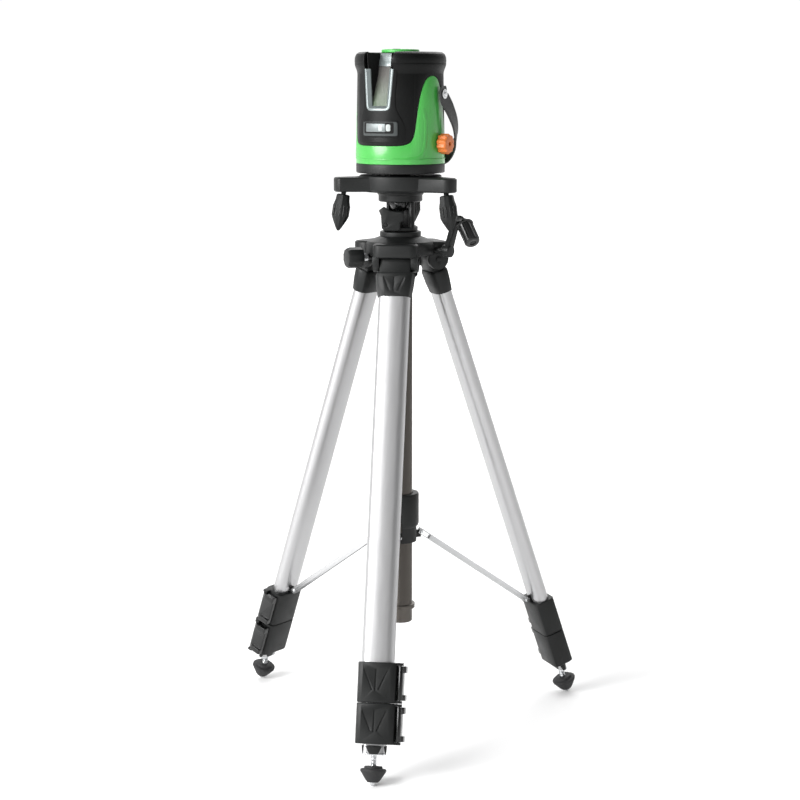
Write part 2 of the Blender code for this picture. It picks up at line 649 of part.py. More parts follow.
def crank_grip_mesh():
    """Fluted sleeve with a flange next to the arm."""
    outside = turned([(9.9 * MM, 6.6 * MM), (9.9 * MM, 9.2 * MM), (8.6 * MM, 9.3 * MM),
                      (8.9 * MM, 34.2 * MM), (7.6 * MM, 35.6 * MM)], 24)
    bore = rod((0, 0, 0), (0, 0, 33.2 * MM), 2.35 * MM, 12)
    pocket = rod((0, 0, 33.1 * MM), (0, 0, 40 * MM), 3.9 * MM, 12)
    return cut(outside, bore, pocket)


def make_crank(axis):
    heading = math.radians(CRANK_AZIMUTH)
    offset = pinion_offset()
    side = heading + math.pi / 2
    centre = (offset * math.cos(side), offset * math.sin(side), CRANK_HEIGHT)
    shaft = empty("crank_shaft_line", axis, centre)
    shaft.rotation_mode = "QUATERNION"
    out = Vector((math.cos(heading), math.sin(heading), 0))
    tangent = Vector((-math.sin(heading), math.cos(heading), 0))
    lift = math.radians(CRANK_ARM_ANGLE)
    arm_way = tangent * math.cos(lift) + Vector((0, 0, 1)) * math.sin(lift)
    third = out.cross(arm_way)
    arm_frame = Matrix((arm_way, third, out)).transposed()
    gear_frame = Matrix((tangent, out.cross(tangent), out)).transposed()
    shaft.rotation_quaternion = arm_frame.to_quaternion()
    undo = (arm_frame.inverted() @ gear_frame).to_4x4()
    place("crank_pinion", moved(pinion_mesh(), undo), "steel", shaft)
    at_arm = (0, 0, CRANK_REACH)
    place("crank_arm", crank_arm_mesh(), "black_plastic", shaft, at_arm)
    fold = (CRANK_LENGTH, 0, CRANK_REACH + GRIP_RISE)
    tilt = (0, -math.radians(GRIP_TILT), 0)
    place("grip_spindle", grip_spindle_mesh(), "steel", shaft, fold, tilt)
    place("crank_grip", crank_grip_mesh(), "black_plastic", shaft, fold, tilt)


def lock_knob_mesh():
    """Fluted locking knob and its stud; the stud's tip is at the origin."""
    knob = turned([(10.4 * MM, 36.6 * MM), (12.2 * MM, 37.6 * MM), (12.4 * MM, 52.5 * MM),
                   (11.0 * MM, 56.0 * MM)], 30, 10, 1.0 * MM)
    stud = turned([(3.0 * MM, 0.0), (3.0 * MM, 40 * MM)], 14)
    return join(knob, stud)


# ---- head ---------------------------------------------------------------------
def yoke_mesh():
    """Collar on the column with two pillars that carry the platform."""
    collar = turned([(17.0 * MM, CROWN_TOP + GAP), (20.6 * MM, 601.2 * MM), (20.6 * MM, 604.8 * MM),
                     (19.0 * MM, 606.2 * MM)], 28)
    extras = []
    for side in (0, 180):
        pillar = soft_block(YOKE_PILLAR_R - 2.9 * MM, YOKE_PILLAR_R + 2.9 * MM, -3.3 * MM, 3.3 * MM,
                            603 * MM, 634.6 * MM, 1.6 * MM, 0.3 * MM)
        extras.append(moved(pillar, turn(YOKE_TURN + side, "Z")))
    extras.append(block(-18.0 * MM, -10.5 * MM, -18.4 * MM, -9.0 * MM, 602 * MM, 613.0 * MM))
    x, z = PAN_PIVOT
    extras.append(rod((x, -15 * MM, z), (x, -25.6 * MM, z), 1.8 * MM, 12))
    return join(collar, *extras)


def pan_lever_mesh():
    """Flat locking paddle about its pivot; it lies in the XZ plane."""
    outline = ((-2.5, 21.5), (-8.5, 17.3), (-5.6, 10.5), (-5.0, -3.5), (-2.5, -6.6), (14.0, -7.0),
               (17.0, -5.0), (17.0, 2.9), (21.2, 5.4), (20.8, 14.4), (19.0, 15.8), (12.7, 15.6),
               (4.2, 17.3))
    rings = []
    for y, inset in ((-21.0, 0.93), (-21.6, 1.0), (-24.4, 1.0), (-25.0, 0.93)):
        rings.append([Vector((x * MM * inset, y * MM, z * MM * inset)) for x, z in outline])
    body = loft(rings, "lever")
    return cut(body, rod((0, -15 * MM, 0), (0, -30 * MM, 0), 2.15 * MM, 12))


def platform_mesh():
    loop = ((8.4, 635.0), (24.5, 635.0), (26.0, 636.0), (26.0, 642.6), (27.4, 644.0), (27.4, 646.0),
            (27.0, 646.5), (8.4, 646.5))
    return turned_ring([(r * MM, z * MM) for r, z in loop], 28)


def mount_screw_mesh():
    """Captive 5/8 inch screw with the domed thumb wheel under the platform."""
    profile = ((3.0, 623.6), (8.0, 624.6), (11.2, 627.2), (12.7, 631.0), (12.8, 634.4), (7.9, 634.5),
               (7.9, 657.0), (6.8, 658.5))
    return turned([(r * MM, z * MM) for r, z in profile], 24)


# ---- laser unit -----------------------------------------------------------------
def arm_ring(inset, z):
    """Outline of a base arm: a wide root inside the disc and a tip with round corners."""
    tip, half, root, corner = ARM_TIP_R - inset, 10.5 * MM - inset, 26.0 * MM - inset, 7.0 * MM
    points = [Vector((20 * MM, -root, z))]
    for start, y in ((-90, corner - half), (0, half - corner)):
        for i in range(4):
            angle = math.radians(start + 30 * i)
            points.append(Vector((tip - corner + corner * math.cos(angle),
                                  y + corner * math.sin(angle), z)))
    points.append(Vector((20 * MM, root, z)))
    return points


def base_mesh():
    disc = turned([(44.0 * MM, BASE_BOTTOM), (47.5 * MM, BASE_BOTTOM + 3 * MM),
                   (48.5 * MM, BASE_TOP - 1.0 * MM), (47.5 * MM, BASE_TOP)], 32)
    arms, holes = [], []
    for step in range(3):
        swing = turn(90 + 120 * step, "Z")
        arm = loft([arm_ring(inset, z)
                    for z, inset in ((BASE_BOTTOM + 0.9 * MM, 1.2 * MM), (BASE_BOTTOM + 2.4 * MM, 0),
                                     (BASE_TOP - 3.0 * MM, 0), (BASE_TOP - 1.4 * MM, 1.4 * MM))])
        arms.append(moved(arm, swing))
        hole = rod((0, 0, -5 * MM), (0, 0, 13.2 * MM), 3.4 * MM, 12)
        holes.append(moved(hole, screw_frame(step)))
    body = join(disc, *arms)
    socket = turned([(8.3 * MM, 640 * MM), (8.3 * MM, 659.5 * MM)], 20)
    spindle = turned([(12.5 * MM, 661.8 * MM), (12.5 * MM, 670 * MM)], 24)
    return cut(body, socket, spindle, *holes)


def screw_frame(step):
    """Frame of a levelling screw: Z up along its splayed axis, origin at the arm."""
    return turn(90 + 120 * step, "Z") @ shift(ARM_PITCH_R, 0, BASE_BOTTOM) @ turn(-SCREW_SPLAY, "Y")


def level_screw_mesh():
    """Fluted levelling screw with a cone tip; its stud goes up into the arm."""
    profile = ((1.2, -45.0), (3.4, -42.0), (8.2, -33.0), (10.0, -29.0), (10.0, -14.0), (8.6, -9.0),
               (8.0, -3.0), (6.0, -2.2))
    body = turned([(r * MM, z * MM) for r, z in profile], 20, 10, 0.8 * MM)
    stud = turned([(3.0 * MM, -6.0 * MM), (3.0 * MM, 12.0 * MM)], 12)
    return join(body, stud)


def turntable_mesh():
    r = CASE_FOOT_R
    disc = turned([(r - 0.8 * MM, RING_BOTTOM), (r, RING_BOTTOM + 0.8 * MM), (r, RING_TOP - 0.6 * MM),
                   (r - 0.4 * MM, RING_TOP - GAP)], 40)
    spindle = turned([(12.1 * MM, 662.2 * MM), (12.1 * MM, RING_BOTTOM + MM)], 24)
    return join(disc, spindle)


def parting_height(angle):
    """Height of the joint between green case and black cover, by angle off the front."""
    angle = min(max(angle, PARTING[0][0]), PARTING[-1][0])
    for (a, low), (b, high) in zip(PARTING, PARTING[1:]):
        if angle <= b:
            break
    return (low + (high - low) * (angle - a) / (b - a)) * MM


def all_round():
    """Angles off the front once round, signed to the laser's right."""
    angles = [a for a, _ in PARTING]
    return angles + [-a for a in reversed(angles[1:-1])]


def joint_line(side):
    """Joint heights once round; side -1 is the green case's edge, +1 the cover's."""
    heights = []
    for angle in all_round():
        pair = [parting_height(abs(angle) + ease) for ease in (-PARTING_EASE, PARTING_EASE)]
        heights.append(max(pair) + GAP / 2 if side > 0 else min(pair) - GAP / 2)
    return heights


def case_ring(radius, heights):
    """One ring of case points; radius is a number or a function of height."""
    points = []
    for angle, z in zip(all_round(), heights):
        turned_by = math.radians(angle - 90)
        r = radius(z) if callable(radius) else radius
        points.append(Vector((r * math.cos(turned_by), r * math.sin(turned_by), z)))
    return points


def case_radius(z):
    """The case narrows a little from its foot to its rim."""
    share = (z - RING_TOP) / (CASE_TOP - RING_TOP)
    return CASE_FOOT_R + (CASE_R - 1.4 * MM - CASE_FOOT_R) * share


def green_case_mesh():
    parting = joint_line(-1)
    low = [RING_TOP for _ in parting]
    band = 699.0 * MM
    rings = [case_ring(CASE_FOOT_R, low)]
    for share in (0.0, 0.4, 1.0):
        rings.append(case_ring(case_radius, [band + (z - band) * share for z in parting]))
    rings += [case_ring(CASE_BORE_R, parting), case_ring(CASE_BORE_R, low)]
    body = loft(rings, "case", loop=True)
    x, y, z = KNOB_AT
    hole = rod((40 * MM, y, z), (60 * MM, y, z), 3.0 * MM, 12)
    return cut(body, hole)


def black_cover_mesh():
    parting = joint_line(1)
    top = CASE_TOP - GAP
    rings = [case_ring(CASE_BORE_R, [top for _ in parting]), case_ring(CASE_BORE_R, parting)]
    for share in (0.0, 0.5, 1.0):
        rings.append(case_ring(case_radius, [z + (top - z) * share for z in parting]))
    body = loft(rings, "cover", loop=True)
    return cut(body, window_cutter())


def window_cutter():
    """The tapering front opening for the laser fans."""
    rings = []
    for z, half in ((741.0 * MM, 15.6 * MM), (816.0 * MM, 19.8 * MM)):
        corners = ((-half, -60), (half, -60), (half, -22.8), (-half, -22.8))
        rings.append([Vector((x, y * MM, z)) for x, y in corners])
    return loft(rings, "window")


def rim_mesh():
    inner = (CASE_BORE_R - GAP) / MM
    profile = ((inner, 784.0), (inner, 788.0), (50.6, 788.0), (51.7, 789.6), (53.0, 793.0), (53.6, 797.5),
               (53.2, 802.0), (51.5, 805.6), (48.5, 807.6), (44.5, 808.0), (41.5, 807.0))
    points = [(r * MM, z * MM) for r, z in profile]
    body = turned(points, 40)
    under = turned([(43.5 * MM, 780 * MM), (43.5 * MM, 799.5 * MM)], 24)
    body = cut(body, under)
    post = turned([(7.0 * MM, 770.0 * MM), (7.0 * MM, 800.5 * MM)], 16)
    pin = rod((-10.5 * MM, 0, PENDULUM_Z), (10.5 * MM, 0, PENDULUM_Z), 1.5 * MM, 10)
    body = join(body, post, pin)
    return cut(body, window_cutter())


def pendulum_mesh():
    """Hanging optics: fork, stem, brass-weighted block and emitter barrel."""
    bits = []
    for x in (8.9 * MM, -8.9 * MM):
        bits.append(block(x - 1.4 * MM, x + 1.4 * MM, -5 * MM, 5 * MM, 752 * MM, 779 * MM))
    bits.append(block(-10.3 * MM, 10.3 * MM, -6 * MM, 6 * MM, 748 * MM, 756 * MM))
    bits.append(turned([(6 * MM, 722 * MM), (6 * MM, 750 * MM)], 16))
    weight = turned([(17 * MM, 700 * MM), (19 * MM, 702 * MM), (19 * MM, 722 * MM), (17 * MM, 724 * MM)], 24)
    barrel = rod((0, -24 * MM, 738 * MM), (0, 12 * MM, 738 * MM), 6.5 * MM, 16)
    body = join(weight, *bits, barrel)
    hole = rod((-15 * MM, 0, PENDULUM_Z), (15 * MM, 0, PENDULUM_Z), 1.9 * MM, 10)
    return cut(body, hole)


def pane_mesh():
    """The front pane: it leans back from the sill of the opening to the rim."""
    rings = []
    for y, z, half in ((-48.0, 741.6, 11.4), (-24.6, 799.0, 15.6)):
        rings.append([Vector((x * MM, (y + back) * MM, z * MM))
                      for x, back in ((-half, 0), (half, 0), (half, 1.8), (-half, 1.8))])
    return loft(rings, "pane")


def keypad_mesh():
    body = turned([(KEYPAD_R, RIM_TOP - MM + GAP), (KEYPAD_R, KEYPAD_TOP - 0.8 * MM),
                   (KEYPAD_R - MM, KEYPAD_TOP)], 32)
    pocket = rod((0, -9 * MM, KEYPAD_TOP - 3.2 * MM), (0, -9 * MM, KEYPAD_TOP + MM), 5.6 * MM, 20)
    return cut(body, pocket)


def button_mesh():
    return turned([(5.2 * MM, -1.6 * MM), (5.2 * MM, 0.8 * MM), (4.4 * MM, 1.3 * MM)], 20)


def fine_knob_mesh():
    """Scalloped adjusting knob about Z with its spindle."""
    profile = ((10.6, 0.7), (11.8, 1.6), (11.8, 11.0), (10.6, 12.8))
    knob = turned([(r * MM, z * MM) for r, z in profile], 40, 10, 1.5 * MM)
    spindle = turned([(2.6 * MM, -9.0 * MM), (2.6 * MM, 4.0 * MM)], 12)
    eye = turned([(2.6 * MM, 9.5 * MM), (2.6 * MM, 15 * MM)], 12)
    return cut(join(knob, spindle), eye)


def bail_mesh():
    """Flexible flat handle from one rivet round the back to the other."""
    half_path = [Vector(p) * MM for p in BAIL_PATH]
    path = half_path + [Vector((-p.x, p.y, p.z)) for p in reversed(half_path[:-1])]
    last = len(path) - 1
    rings = []
    for i, p in enumerate(path):
        along = (path[min(i + 1, last)] - path[max(i - 1, 0)]).normalized()
        outward = Vector((p.x, p.y * 0.6, 0)).normalized()
        normal = (outward - along * outward.dot(along)).normalized()
        across = along.cross(normal)
        from_end = min(i, last - i)
        half = BAIL_HALF[min(from_end, len(BAIL_HALF) - 1)]
        thick = 1.2 * MM
        rings.append([p + across * half * a + normal * thick * b
                      for a, b in ((1, 0.5), (0.9, 1), (-0.9, 1), (-1, 0.5), (-1, -0.5), (-0.9, -1),
                                   (0.9, -1), (1, -0.5))])
    return loft(rings, "bail")


def make_laser(axis):
    base = empty("laser_base_axis", axis, (0, 0, 0), (0, 0, math.radians(BASE_TURN)))
    place("laser_base", base_mesh(), "black_plastic", base)
    screw = level_screw_mesh()
    for step, label in enumerate(("rear", "left", "right")):
        frame = screw_frame(step)
        place(f"{label}_level_screw", screw, "black_plastic", base, frame.to_translation(),
              frame.to_euler())
    body = empty("laser_axis", axis, (0, 0, 0), (0, 0, math.radians(LASER_TURN)))
    place("turntable_ring", turntable_mesh(), "black_plastic", body)
    place("green_case", green_case_mesh(), "green_plastic", body)
    place("black_cover", black_cover_mesh(), "black_plastic", body)
    place("top_rim", rim_mesh(), "black_rubber", body)
    place("front_window", pane_mesh(), "window_glass", body)
    place("keypad", keypad_mesh(), "green_plastic", body)
    place("mode_button", button_mesh(), "black_rubber", body, (0, -9 * MM, KEYPAD_TOP - 0.8 * MM))
    place("pendulum", moved(pendulum_mesh(), shift(z=-PENDULUM_Z)), "steel", body, (0, 0, PENDULUM_Z))
    place("fine_knob", fine_knob_mesh(), "orange_plastic", body, KNOB_AT, (0, math.pi / 2, 0))
    place("carry_bail", moved(bail_mesh(), shift(*[-v for v in BAIL_AXIS])), "black_rubber", body, BAIL_AXIS)


def make_head(axis):
    place("crown", crown_mesh(), "black_plastic", axis)
    place("centre_tube", centre_tube_mesh(), "silver_tube", axis)
    place("spreader_hub", spreader_hub_mesh(), "black_plastic", axis)
    place("elevator_column", column_mesh(), "silver_tube", axis, (0, 0, 0),
          (0, 0, math.radians(CRANK_AZIMUTH + 90)))
    make_crank(axis)
    lock = math.radians(LOCK_AZIMUTH)
    tip = COLUMN_R + 0.6 * MM
    place("lock_knob", lock_knob_mesh(), "black_plastic", axis,
          (tip * math.cos(lock), tip * math.sin(lock), LOCK_HEIGHT), (0, math.pi / 2, lock))
    place("head_yoke", yoke_mesh(), "black_plastic", axis)
    x, z = PAN_PIVOT
    place("pan_lever", pan_lever_mesh(), "black_plastic", axis, (x, 0, z))
    place("platform", platform_mesh(), "black_plastic", axis)
    place("mount_screw", mount_screw_mesh(), "black_plastic", axis)


def main():
    clear_scene()
    axis = empty("tripod_axis", None, (0, AXIS_Y, 0))
    make_legs(axis)
    make_head(axis)
    make_laser(axis)


main()
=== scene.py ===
"""Looks for a laser level on a lightweight three-leg tripod.

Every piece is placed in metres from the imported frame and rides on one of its
bodies.  The laser has a frame of its own, turned about the tripod's axis, and
each leg has one too: X inward, Y along its hinge, Z up the leg.
"""

import bpy
import bmesh
import json
import math
from bpy.props import FloatProperty, FloatVectorProperty, IntProperty, PointerProperty
from mathutils import Matrix, Vector
from mathutils.bvhtree import BVHTree


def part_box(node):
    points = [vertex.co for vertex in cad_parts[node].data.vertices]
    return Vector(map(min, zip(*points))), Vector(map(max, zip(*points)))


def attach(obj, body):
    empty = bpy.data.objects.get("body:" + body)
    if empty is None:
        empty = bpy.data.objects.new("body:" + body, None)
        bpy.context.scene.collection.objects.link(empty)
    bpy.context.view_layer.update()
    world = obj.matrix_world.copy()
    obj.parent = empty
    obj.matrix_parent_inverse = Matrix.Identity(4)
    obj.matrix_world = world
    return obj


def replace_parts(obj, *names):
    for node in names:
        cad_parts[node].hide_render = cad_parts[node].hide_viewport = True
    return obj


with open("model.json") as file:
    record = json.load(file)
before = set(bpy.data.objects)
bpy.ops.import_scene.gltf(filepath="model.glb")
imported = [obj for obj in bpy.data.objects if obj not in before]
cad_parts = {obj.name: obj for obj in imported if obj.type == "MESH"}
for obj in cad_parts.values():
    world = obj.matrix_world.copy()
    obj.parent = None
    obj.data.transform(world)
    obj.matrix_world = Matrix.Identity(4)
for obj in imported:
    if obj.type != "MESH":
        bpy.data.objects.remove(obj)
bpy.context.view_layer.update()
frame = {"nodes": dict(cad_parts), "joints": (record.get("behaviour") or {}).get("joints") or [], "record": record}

bl_info = {
    "name": "Laser level on tripod",
    "version": (1, 0, 0),
    "blender": (4, 5, 0),
    "location": "3D View > Sidebar > Tripod",
    "description": "Builds the finished pieces and surfaces of a laser level on its tripod",
    "category": "Object",
}

MM = 0.001
LEGS = ("front", "right", "left")
LASER_TURN = math.radians(-23.3)
CASE_FOOT = (0.680, 0.0522)  # height and radius where the case's taper starts
CASE_HEAD = (0.788, 0.0502)  # and where it ends
WINDOW_FOOT = 0.7416  # height of the pane's lower edge
STRAP_PIVOT = (0.006, 0.760)  # Y and Z of the strap's rivets in the laser's frame
HINGE_UP = 0.600  # from a foot's tip up its leg to the hinge
HINGE_HALF = 0.0262  # half the width over a leg's hinge lugs
BRACE_PIN = (0.0265, 0.232)  # radius and height of the braces' pins in the hub
CAMERA_AZIMUTH = math.radians(-82.32)
CAMERA_PITCH = math.radians(10.10)
CAMERA_SHIFT = -0.0006


# ---- places ----
def joint(name):
    """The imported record's row for one joint."""
    return next(row for row in frame["joints"] if row["name"] == name)


def middle(node):
    """The centre of a CAD node's box."""
    low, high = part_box(node)
    return (low + high) / 2


AXIS_X, AXIS_Y = middle("centre_tube").xy


def laser_place():
    """The laser's own frame: -Y is its window, Z is height above the ground."""
    return Matrix.Translation((AXIS_X, AXIS_Y, 0)) @ Matrix.Rotation(LASER_TURN, 4, "Z")


def leg_place(leg):
    """A leg's frame, with its foot's tip at the origin and Z up the leg."""
    fold = joint(f"{leg}_leg_fold")
    across = Vector(fold["axis"]).normalized()
    up = -Vector(joint(f"{leg}_middle_extend")["axis"]).normalized()
    inward = across.cross(up)
    turn = Matrix((inward, across, up)).transposed().to_4x4()
    return Matrix.Translation(Vector(fold["pos_m"])) @ turn @ Matrix.Translation((0, 0, -HINGE_UP))


def axis_place(name):
    """A frame at a joint's position with Z along its axis."""
    row = joint(name)
    turn = Vector(row["axis"]).to_track_quat("Z", "Y").to_matrix().to_4x4()
    return Matrix.Translation(Vector(row["pos_m"])) @ turn


def upright():
    """The tripod's own frame: turned with the ground, about the centre tube's axis."""
    return Matrix.Translation((AXIS_X, AXIS_Y, 0))


def case_radius(z):
    """The case tapers a little towards its head."""
    share = (z - CASE_FOOT[0]) / (CASE_HEAD[0] - CASE_FOOT[0])
    share = min(max(share, 0.0), 1.0)
    return CASE_FOOT[1] + (CASE_HEAD[1] - CASE_FOOT[1]) * share


def on_case(degrees, z, proud=0.0):
    """A point on the case, at an angle from the window towards +X."""
    angle = math.radians(degrees)
    r = case_radius(z) + proud
    return Vector((r * math.sin(angle), -r * math.cos(angle), z))


# ---- surfaces ----
class Wire:
    """A node's output that takes part in plain arithmetic."""

    def __init__(self, owner, socket):
        self.owner = owner
        self.socket = socket

    def sum_of(self, operation, *terms):
        return self.owner.node("ShaderNodeMath", {"operation": operation}, dict(enumerate(terms)))

    def __add__(self, other):
        return self.sum_of("ADD", self, other)

    def __radd__(self, other):
        return self.sum_of("ADD", other, self)

    def __sub__(self, other):
        return self.sum_of("SUBTRACT", self, other)

    def __rsub__(self, other):
        return self.sum_of("SUBTRACT", other, self)

    def __mul__(self, other):
        return self.sum_of("MULTIPLY", self, other)

    def __rmul__(self, other):
        return self.sum_of("MULTIPLY", other, self)


class Nodes:
    """A tree of nodes in the making."""

    def __init__(self, tree):
        self.tree = tree

    def node(self, kind, settings=None, inputs=None, output=0):
        """Add a node: its settings first, then the values or links of its sockets."""
        made = self.tree.nodes.new(kind)
        for key, value in (settings or {}).items():
            setattr(made, key, value)
        for key, value in (inputs or {}).items():
            for item in value if isinstance(value, list) else [value]:
                if isinstance(item, Wire):
                    self.tree.links.new(item.socket, made.inputs[key])
                else:
                    made.inputs[key].default_value = item
        return Wire(self, made.outputs[output])

    def end(self, kind, wire):
        """Close the tree with an output node."""
        last = self.tree.nodes.new(kind)
        self.tree.links.new(wire.socket, last.inputs[0])


class Bench(Nodes):
    """A material, or the world, in the making.

    Scales count cells to the metre, and the depths of reliefs are in metres.
    """

    def __init__(self, name, owner=None):
        self.owner = owner or bpy.data.materials.new(name)
        self.owner.use_nodes = True
        super().__init__(self.owner.node_tree)
        self.tree.nodes.clear()

    def place(self):
        """Object coordinates, in metres."""
        return self.node("ShaderNodeTexCoord", output="Object")

    def grain_place(self, stretch=(1, 1, 1)):
        """Coordinates in a piece's own frame, which follow it however it leans."""
        own = self.node("ShaderNodeAttribute", {"attribute_name": "grain"}, output="Vector")
        return self.node("ShaderNodeVectorMath", {"operation": "MULTIPLY"}, {0: own, 1: stretch})

    def cloud(self, where, scale, detail=3.0, rough=0.5):
        return self.node("ShaderNodeTexNoise", {"noise_dimensions": "3D"},
                         {"Vector": where, "Scale": scale, "Detail": detail, "Roughness": rough})

    def cells(self, where, scale, feature="F1"):
        return self.node("ShaderNodeTexVoronoi", {"feature": feature},
                         {"Vector": where, "Scale": scale}, "Distance")

    def between(self, value, low, high, out_low=0.0, out_high=1.0):
        """Map a value from one range to another and hold it there."""
        return self.node("ShaderNodeMapRange", {"clamp": True},
                         {"Value": value, "From Min": low, "From Max": high,
                          "To Min": out_low, "To Max": out_high})

    def blend(self, share, first, second):
        """Mix two colours."""
        return self.node("ShaderNodeMix", {"data_type": "RGBA", "clamp_factor": True},
                         {0: share, 6: first, 7: second}, 2)

    def part_of(self, wire, axis):
        """One of a vector's three numbers."""
        return self.node("ShaderNodeSeparateXYZ", None, {0: wire}, axis)

    def relief(self, height, strength, depth, under=None):
        """A Bump node over a height, on top of another relief if there is one."""
        links = {"Height": height, "Strength": strength, "Distance": depth}
        if under is not None:
            links["Normal"] = under
        return self.node("ShaderNodeBump", None, links)

    def finish(self, slot, **sockets):
        """Close the material with one Principled shader."""
        names = {key.replace("_", " "): value for key, value in sockets.items()}
        self.end("ShaderNodeOutputMaterial", self.node("ShaderNodeBsdfPrincipled", None, names))
        self.owner["tripod_slot"] = slot
        return self.owner


def shade(colour, factor):
    """A colour made lighter or darker, with full alpha."""
    return tuple(min(1.0, channel * factor) for channel in tuple(colour)[:3]) + (1.0,)


SURFACES = {}


def surface(name):
    """A finish by name, made the first time that a piece asks for it."""
    if name not in SURFACES:
        SURFACES[name] = MAKERS[name]()
    return SURFACES[name]


def colour_of(name):
    """One of the colours that a user sets."""
    return getattr(bpy.context.scene.tripod_colours, name)


def moulded(name, slot, colour, rough, grain=0.5, fine=2600.0, patches=0.12, coat=0.0, shine=0.28):
    """Spark-eroded moulded plastic: a fine even grain, faint flow and handling marks."""
    bench = Bench(name)
    where = bench.grain_place()
    pits = bench.cells(where, fine)
    haze = bench.cloud(where, 55.0, 4.0)
    rub = bench.cloud(where, 420.0, 5.0, 0.65)
    scuff = bench.between(rub, 0.62, 0.74)
    tone = bench.blend(haze * patches * 2, shade(colour, 1.0 - patches), shade(colour, 1.0 + patches * 2))
    tone = bench.blend(scuff * 0.05, tone, (0.14, 0.14, 0.14, 1))
    rough_map = bench.between(haze, 0.3, 0.7, rough - 0.05, rough + 0.06) + scuff * 0.06
    relief = bench.relief(pits + rub * 0.6, grain, 0.00006)
    return bench.finish(slot, Base_Color=tone, Roughness=rough_map, Coat_Weight=coat,
                        Coat_Roughness=0.25, Specular_IOR_Level=shine, Normal=relief)


def anodised(name, slot, colour, rough, dark=0.93, metal=1.0):
    """Satin anodised tube: fine drawn lines along the leg under an even matt etch."""
    bench = Bench(name)
    lines = bench.cloud(bench.grain_place((1, 1, 0.012)), 2400.0, 3.0)
    etch = bench.cloud(bench.grain_place(), 3800.0, 2.0)
    haze = bench.cloud(bench.grain_place((1, 1, 0.25)), 24.0, 3.0)
    nick = bench.between(bench.cloud(bench.grain_place((1, 1, 0.35)), 260.0, 6.0, 0.7), 0.70, 0.78)
    tone = bench.blend(haze, shade(colour, dark), shade(colour, 1.02))
    tone = bench.blend(lines * 0.16, tone, shade(colour, 0.86))
    tone = bench.blend(nick * 0.35, tone, shade(colour, 0.72))
    rough_map = bench.between(lines, 0.35, 0.65, rough - 0.04, rough + 0.05) + nick * 0.1
    relief = bench.relief(etch, 0.25, 0.00003, bench.relief(lines, 0.22, 0.00004))
    return bench.finish(slot, Base_Color=tone, Metallic=metal, Roughness=rough_map, Normal=relief)


def plated(name, slot, colour, rough):
    """Turned and plated steel, with fine rings round its length and dull spots."""
    bench = Bench(name)
    rings = bench.cloud(bench.grain_place((0.03, 0.03, 1)), 3600.0, 2.0)
    spots = bench.between(bench.cloud(bench.grain_place(), 700.0, 4.0), 0.60, 0.72)
    tone = bench.blend(spots * 0.5, shade(colour, 1.0), shade(colour, 0.66))
    rough_map = bench.between(rings, 0.3, 0.7, rough - 0.04, rough + 0.07) + spots * 0.14
    return bench.finish(slot, Base_Color=tone, Metallic=1.0, Roughness=rough_map,
                        Normal=bench.relief(rings, 0.3, 0.00004))


def shell_green():
    """Satin green case: slight orange peel, rubbed brighter where hands carry it."""
    bench = Bench("case_green")
    where = bench.grain_place()
    peel = bench.cloud(where, 620.0, 2.0)
    pits = bench.cells(where, 2300.0)
    haze = bench.cloud(where, 38.0, 4.0)
    rub = bench.between(bench.cloud(where, 300.0, 5.0, 0.65), 0.63, 0.75)
    green = colour_of("case_green")
    tone = bench.blend(haze, shade(green, 0.90), shade(green, 1.10))
    tone = bench.blend(rub * 0.16, tone, (0.35, 0.85, 0.38, 1))
    rough_map = bench.between(haze, 0.3, 0.7, 0.30, 0.39) + rub * 0.08
    relief = bench.relief(peel, 0.10, 0.00008, bench.relief(pits, 0.10, 0.00003))
    return bench.finish("green_plastic", Base_Color=tone, Roughness=rough_map, Coat_Weight=0.25,
                        Coat_Roughness=0.18, Normal=relief)


def trim_silver():
    """Silver-painted plastic: metallic flake under a clear coat."""
    bench = Bench("trim_silver")
    where = bench.grain_place()
    flake = bench.cells(where, 5200.0)
    haze = bench.cloud(where, 90.0, 3.0)
    silver = colour_of("trim_silver")
    tone = bench.blend(flake, shade(silver, 0.80), shade(silver, 1.25))
    tone = bench.blend(haze * 0.3, tone, shade(silver, 0.85))
    rough_map = bench.between(flake, 0.1, 0.8, 0.26, 0.42)
    return bench.finish("steel", Base_Color=tone, Metallic=0.30, Roughness=rough_map, Coat_Weight=0.25,
                        Coat_Roughness=0.12, Normal=bench.relief(flake, 0.12, 0.00002))


def pane_tint():
    """A hard-coated pane that looks olive low down and grey near its head."""
    bench = Bench("pane_tint")
    where = bench.grain_place()
    share = bench.between(bench.part_of(where, "Z"), 0.742, 0.782)
    smear = bench.cloud(bench.grain_place((1, 1, 0.4)), 130.0, 4.0)
    tone = bench.blend(share, (0.085, 0.135, 0.075, 1), (0.125, 0.118, 0.112, 1))
    tone = bench.blend(smear * 0.35, tone, (0.17, 0.175, 0.16, 1))
    rough_map = bench.between(smear, 0.35, 0.7, 0.22, 0.34)
    cover = bench.between(smear, 0.2, 0.8, 0.80, 0.90)
    return bench.finish("window_glass", Base_Color=tone, Roughness=rough_map, Coat_Weight=0.06,
                        Coat_Roughness=0.05, Specular_IOR_Level=0.18, Alpha=cover,
                        Normal=bench.relief(smear, 0.05, 0.00005))


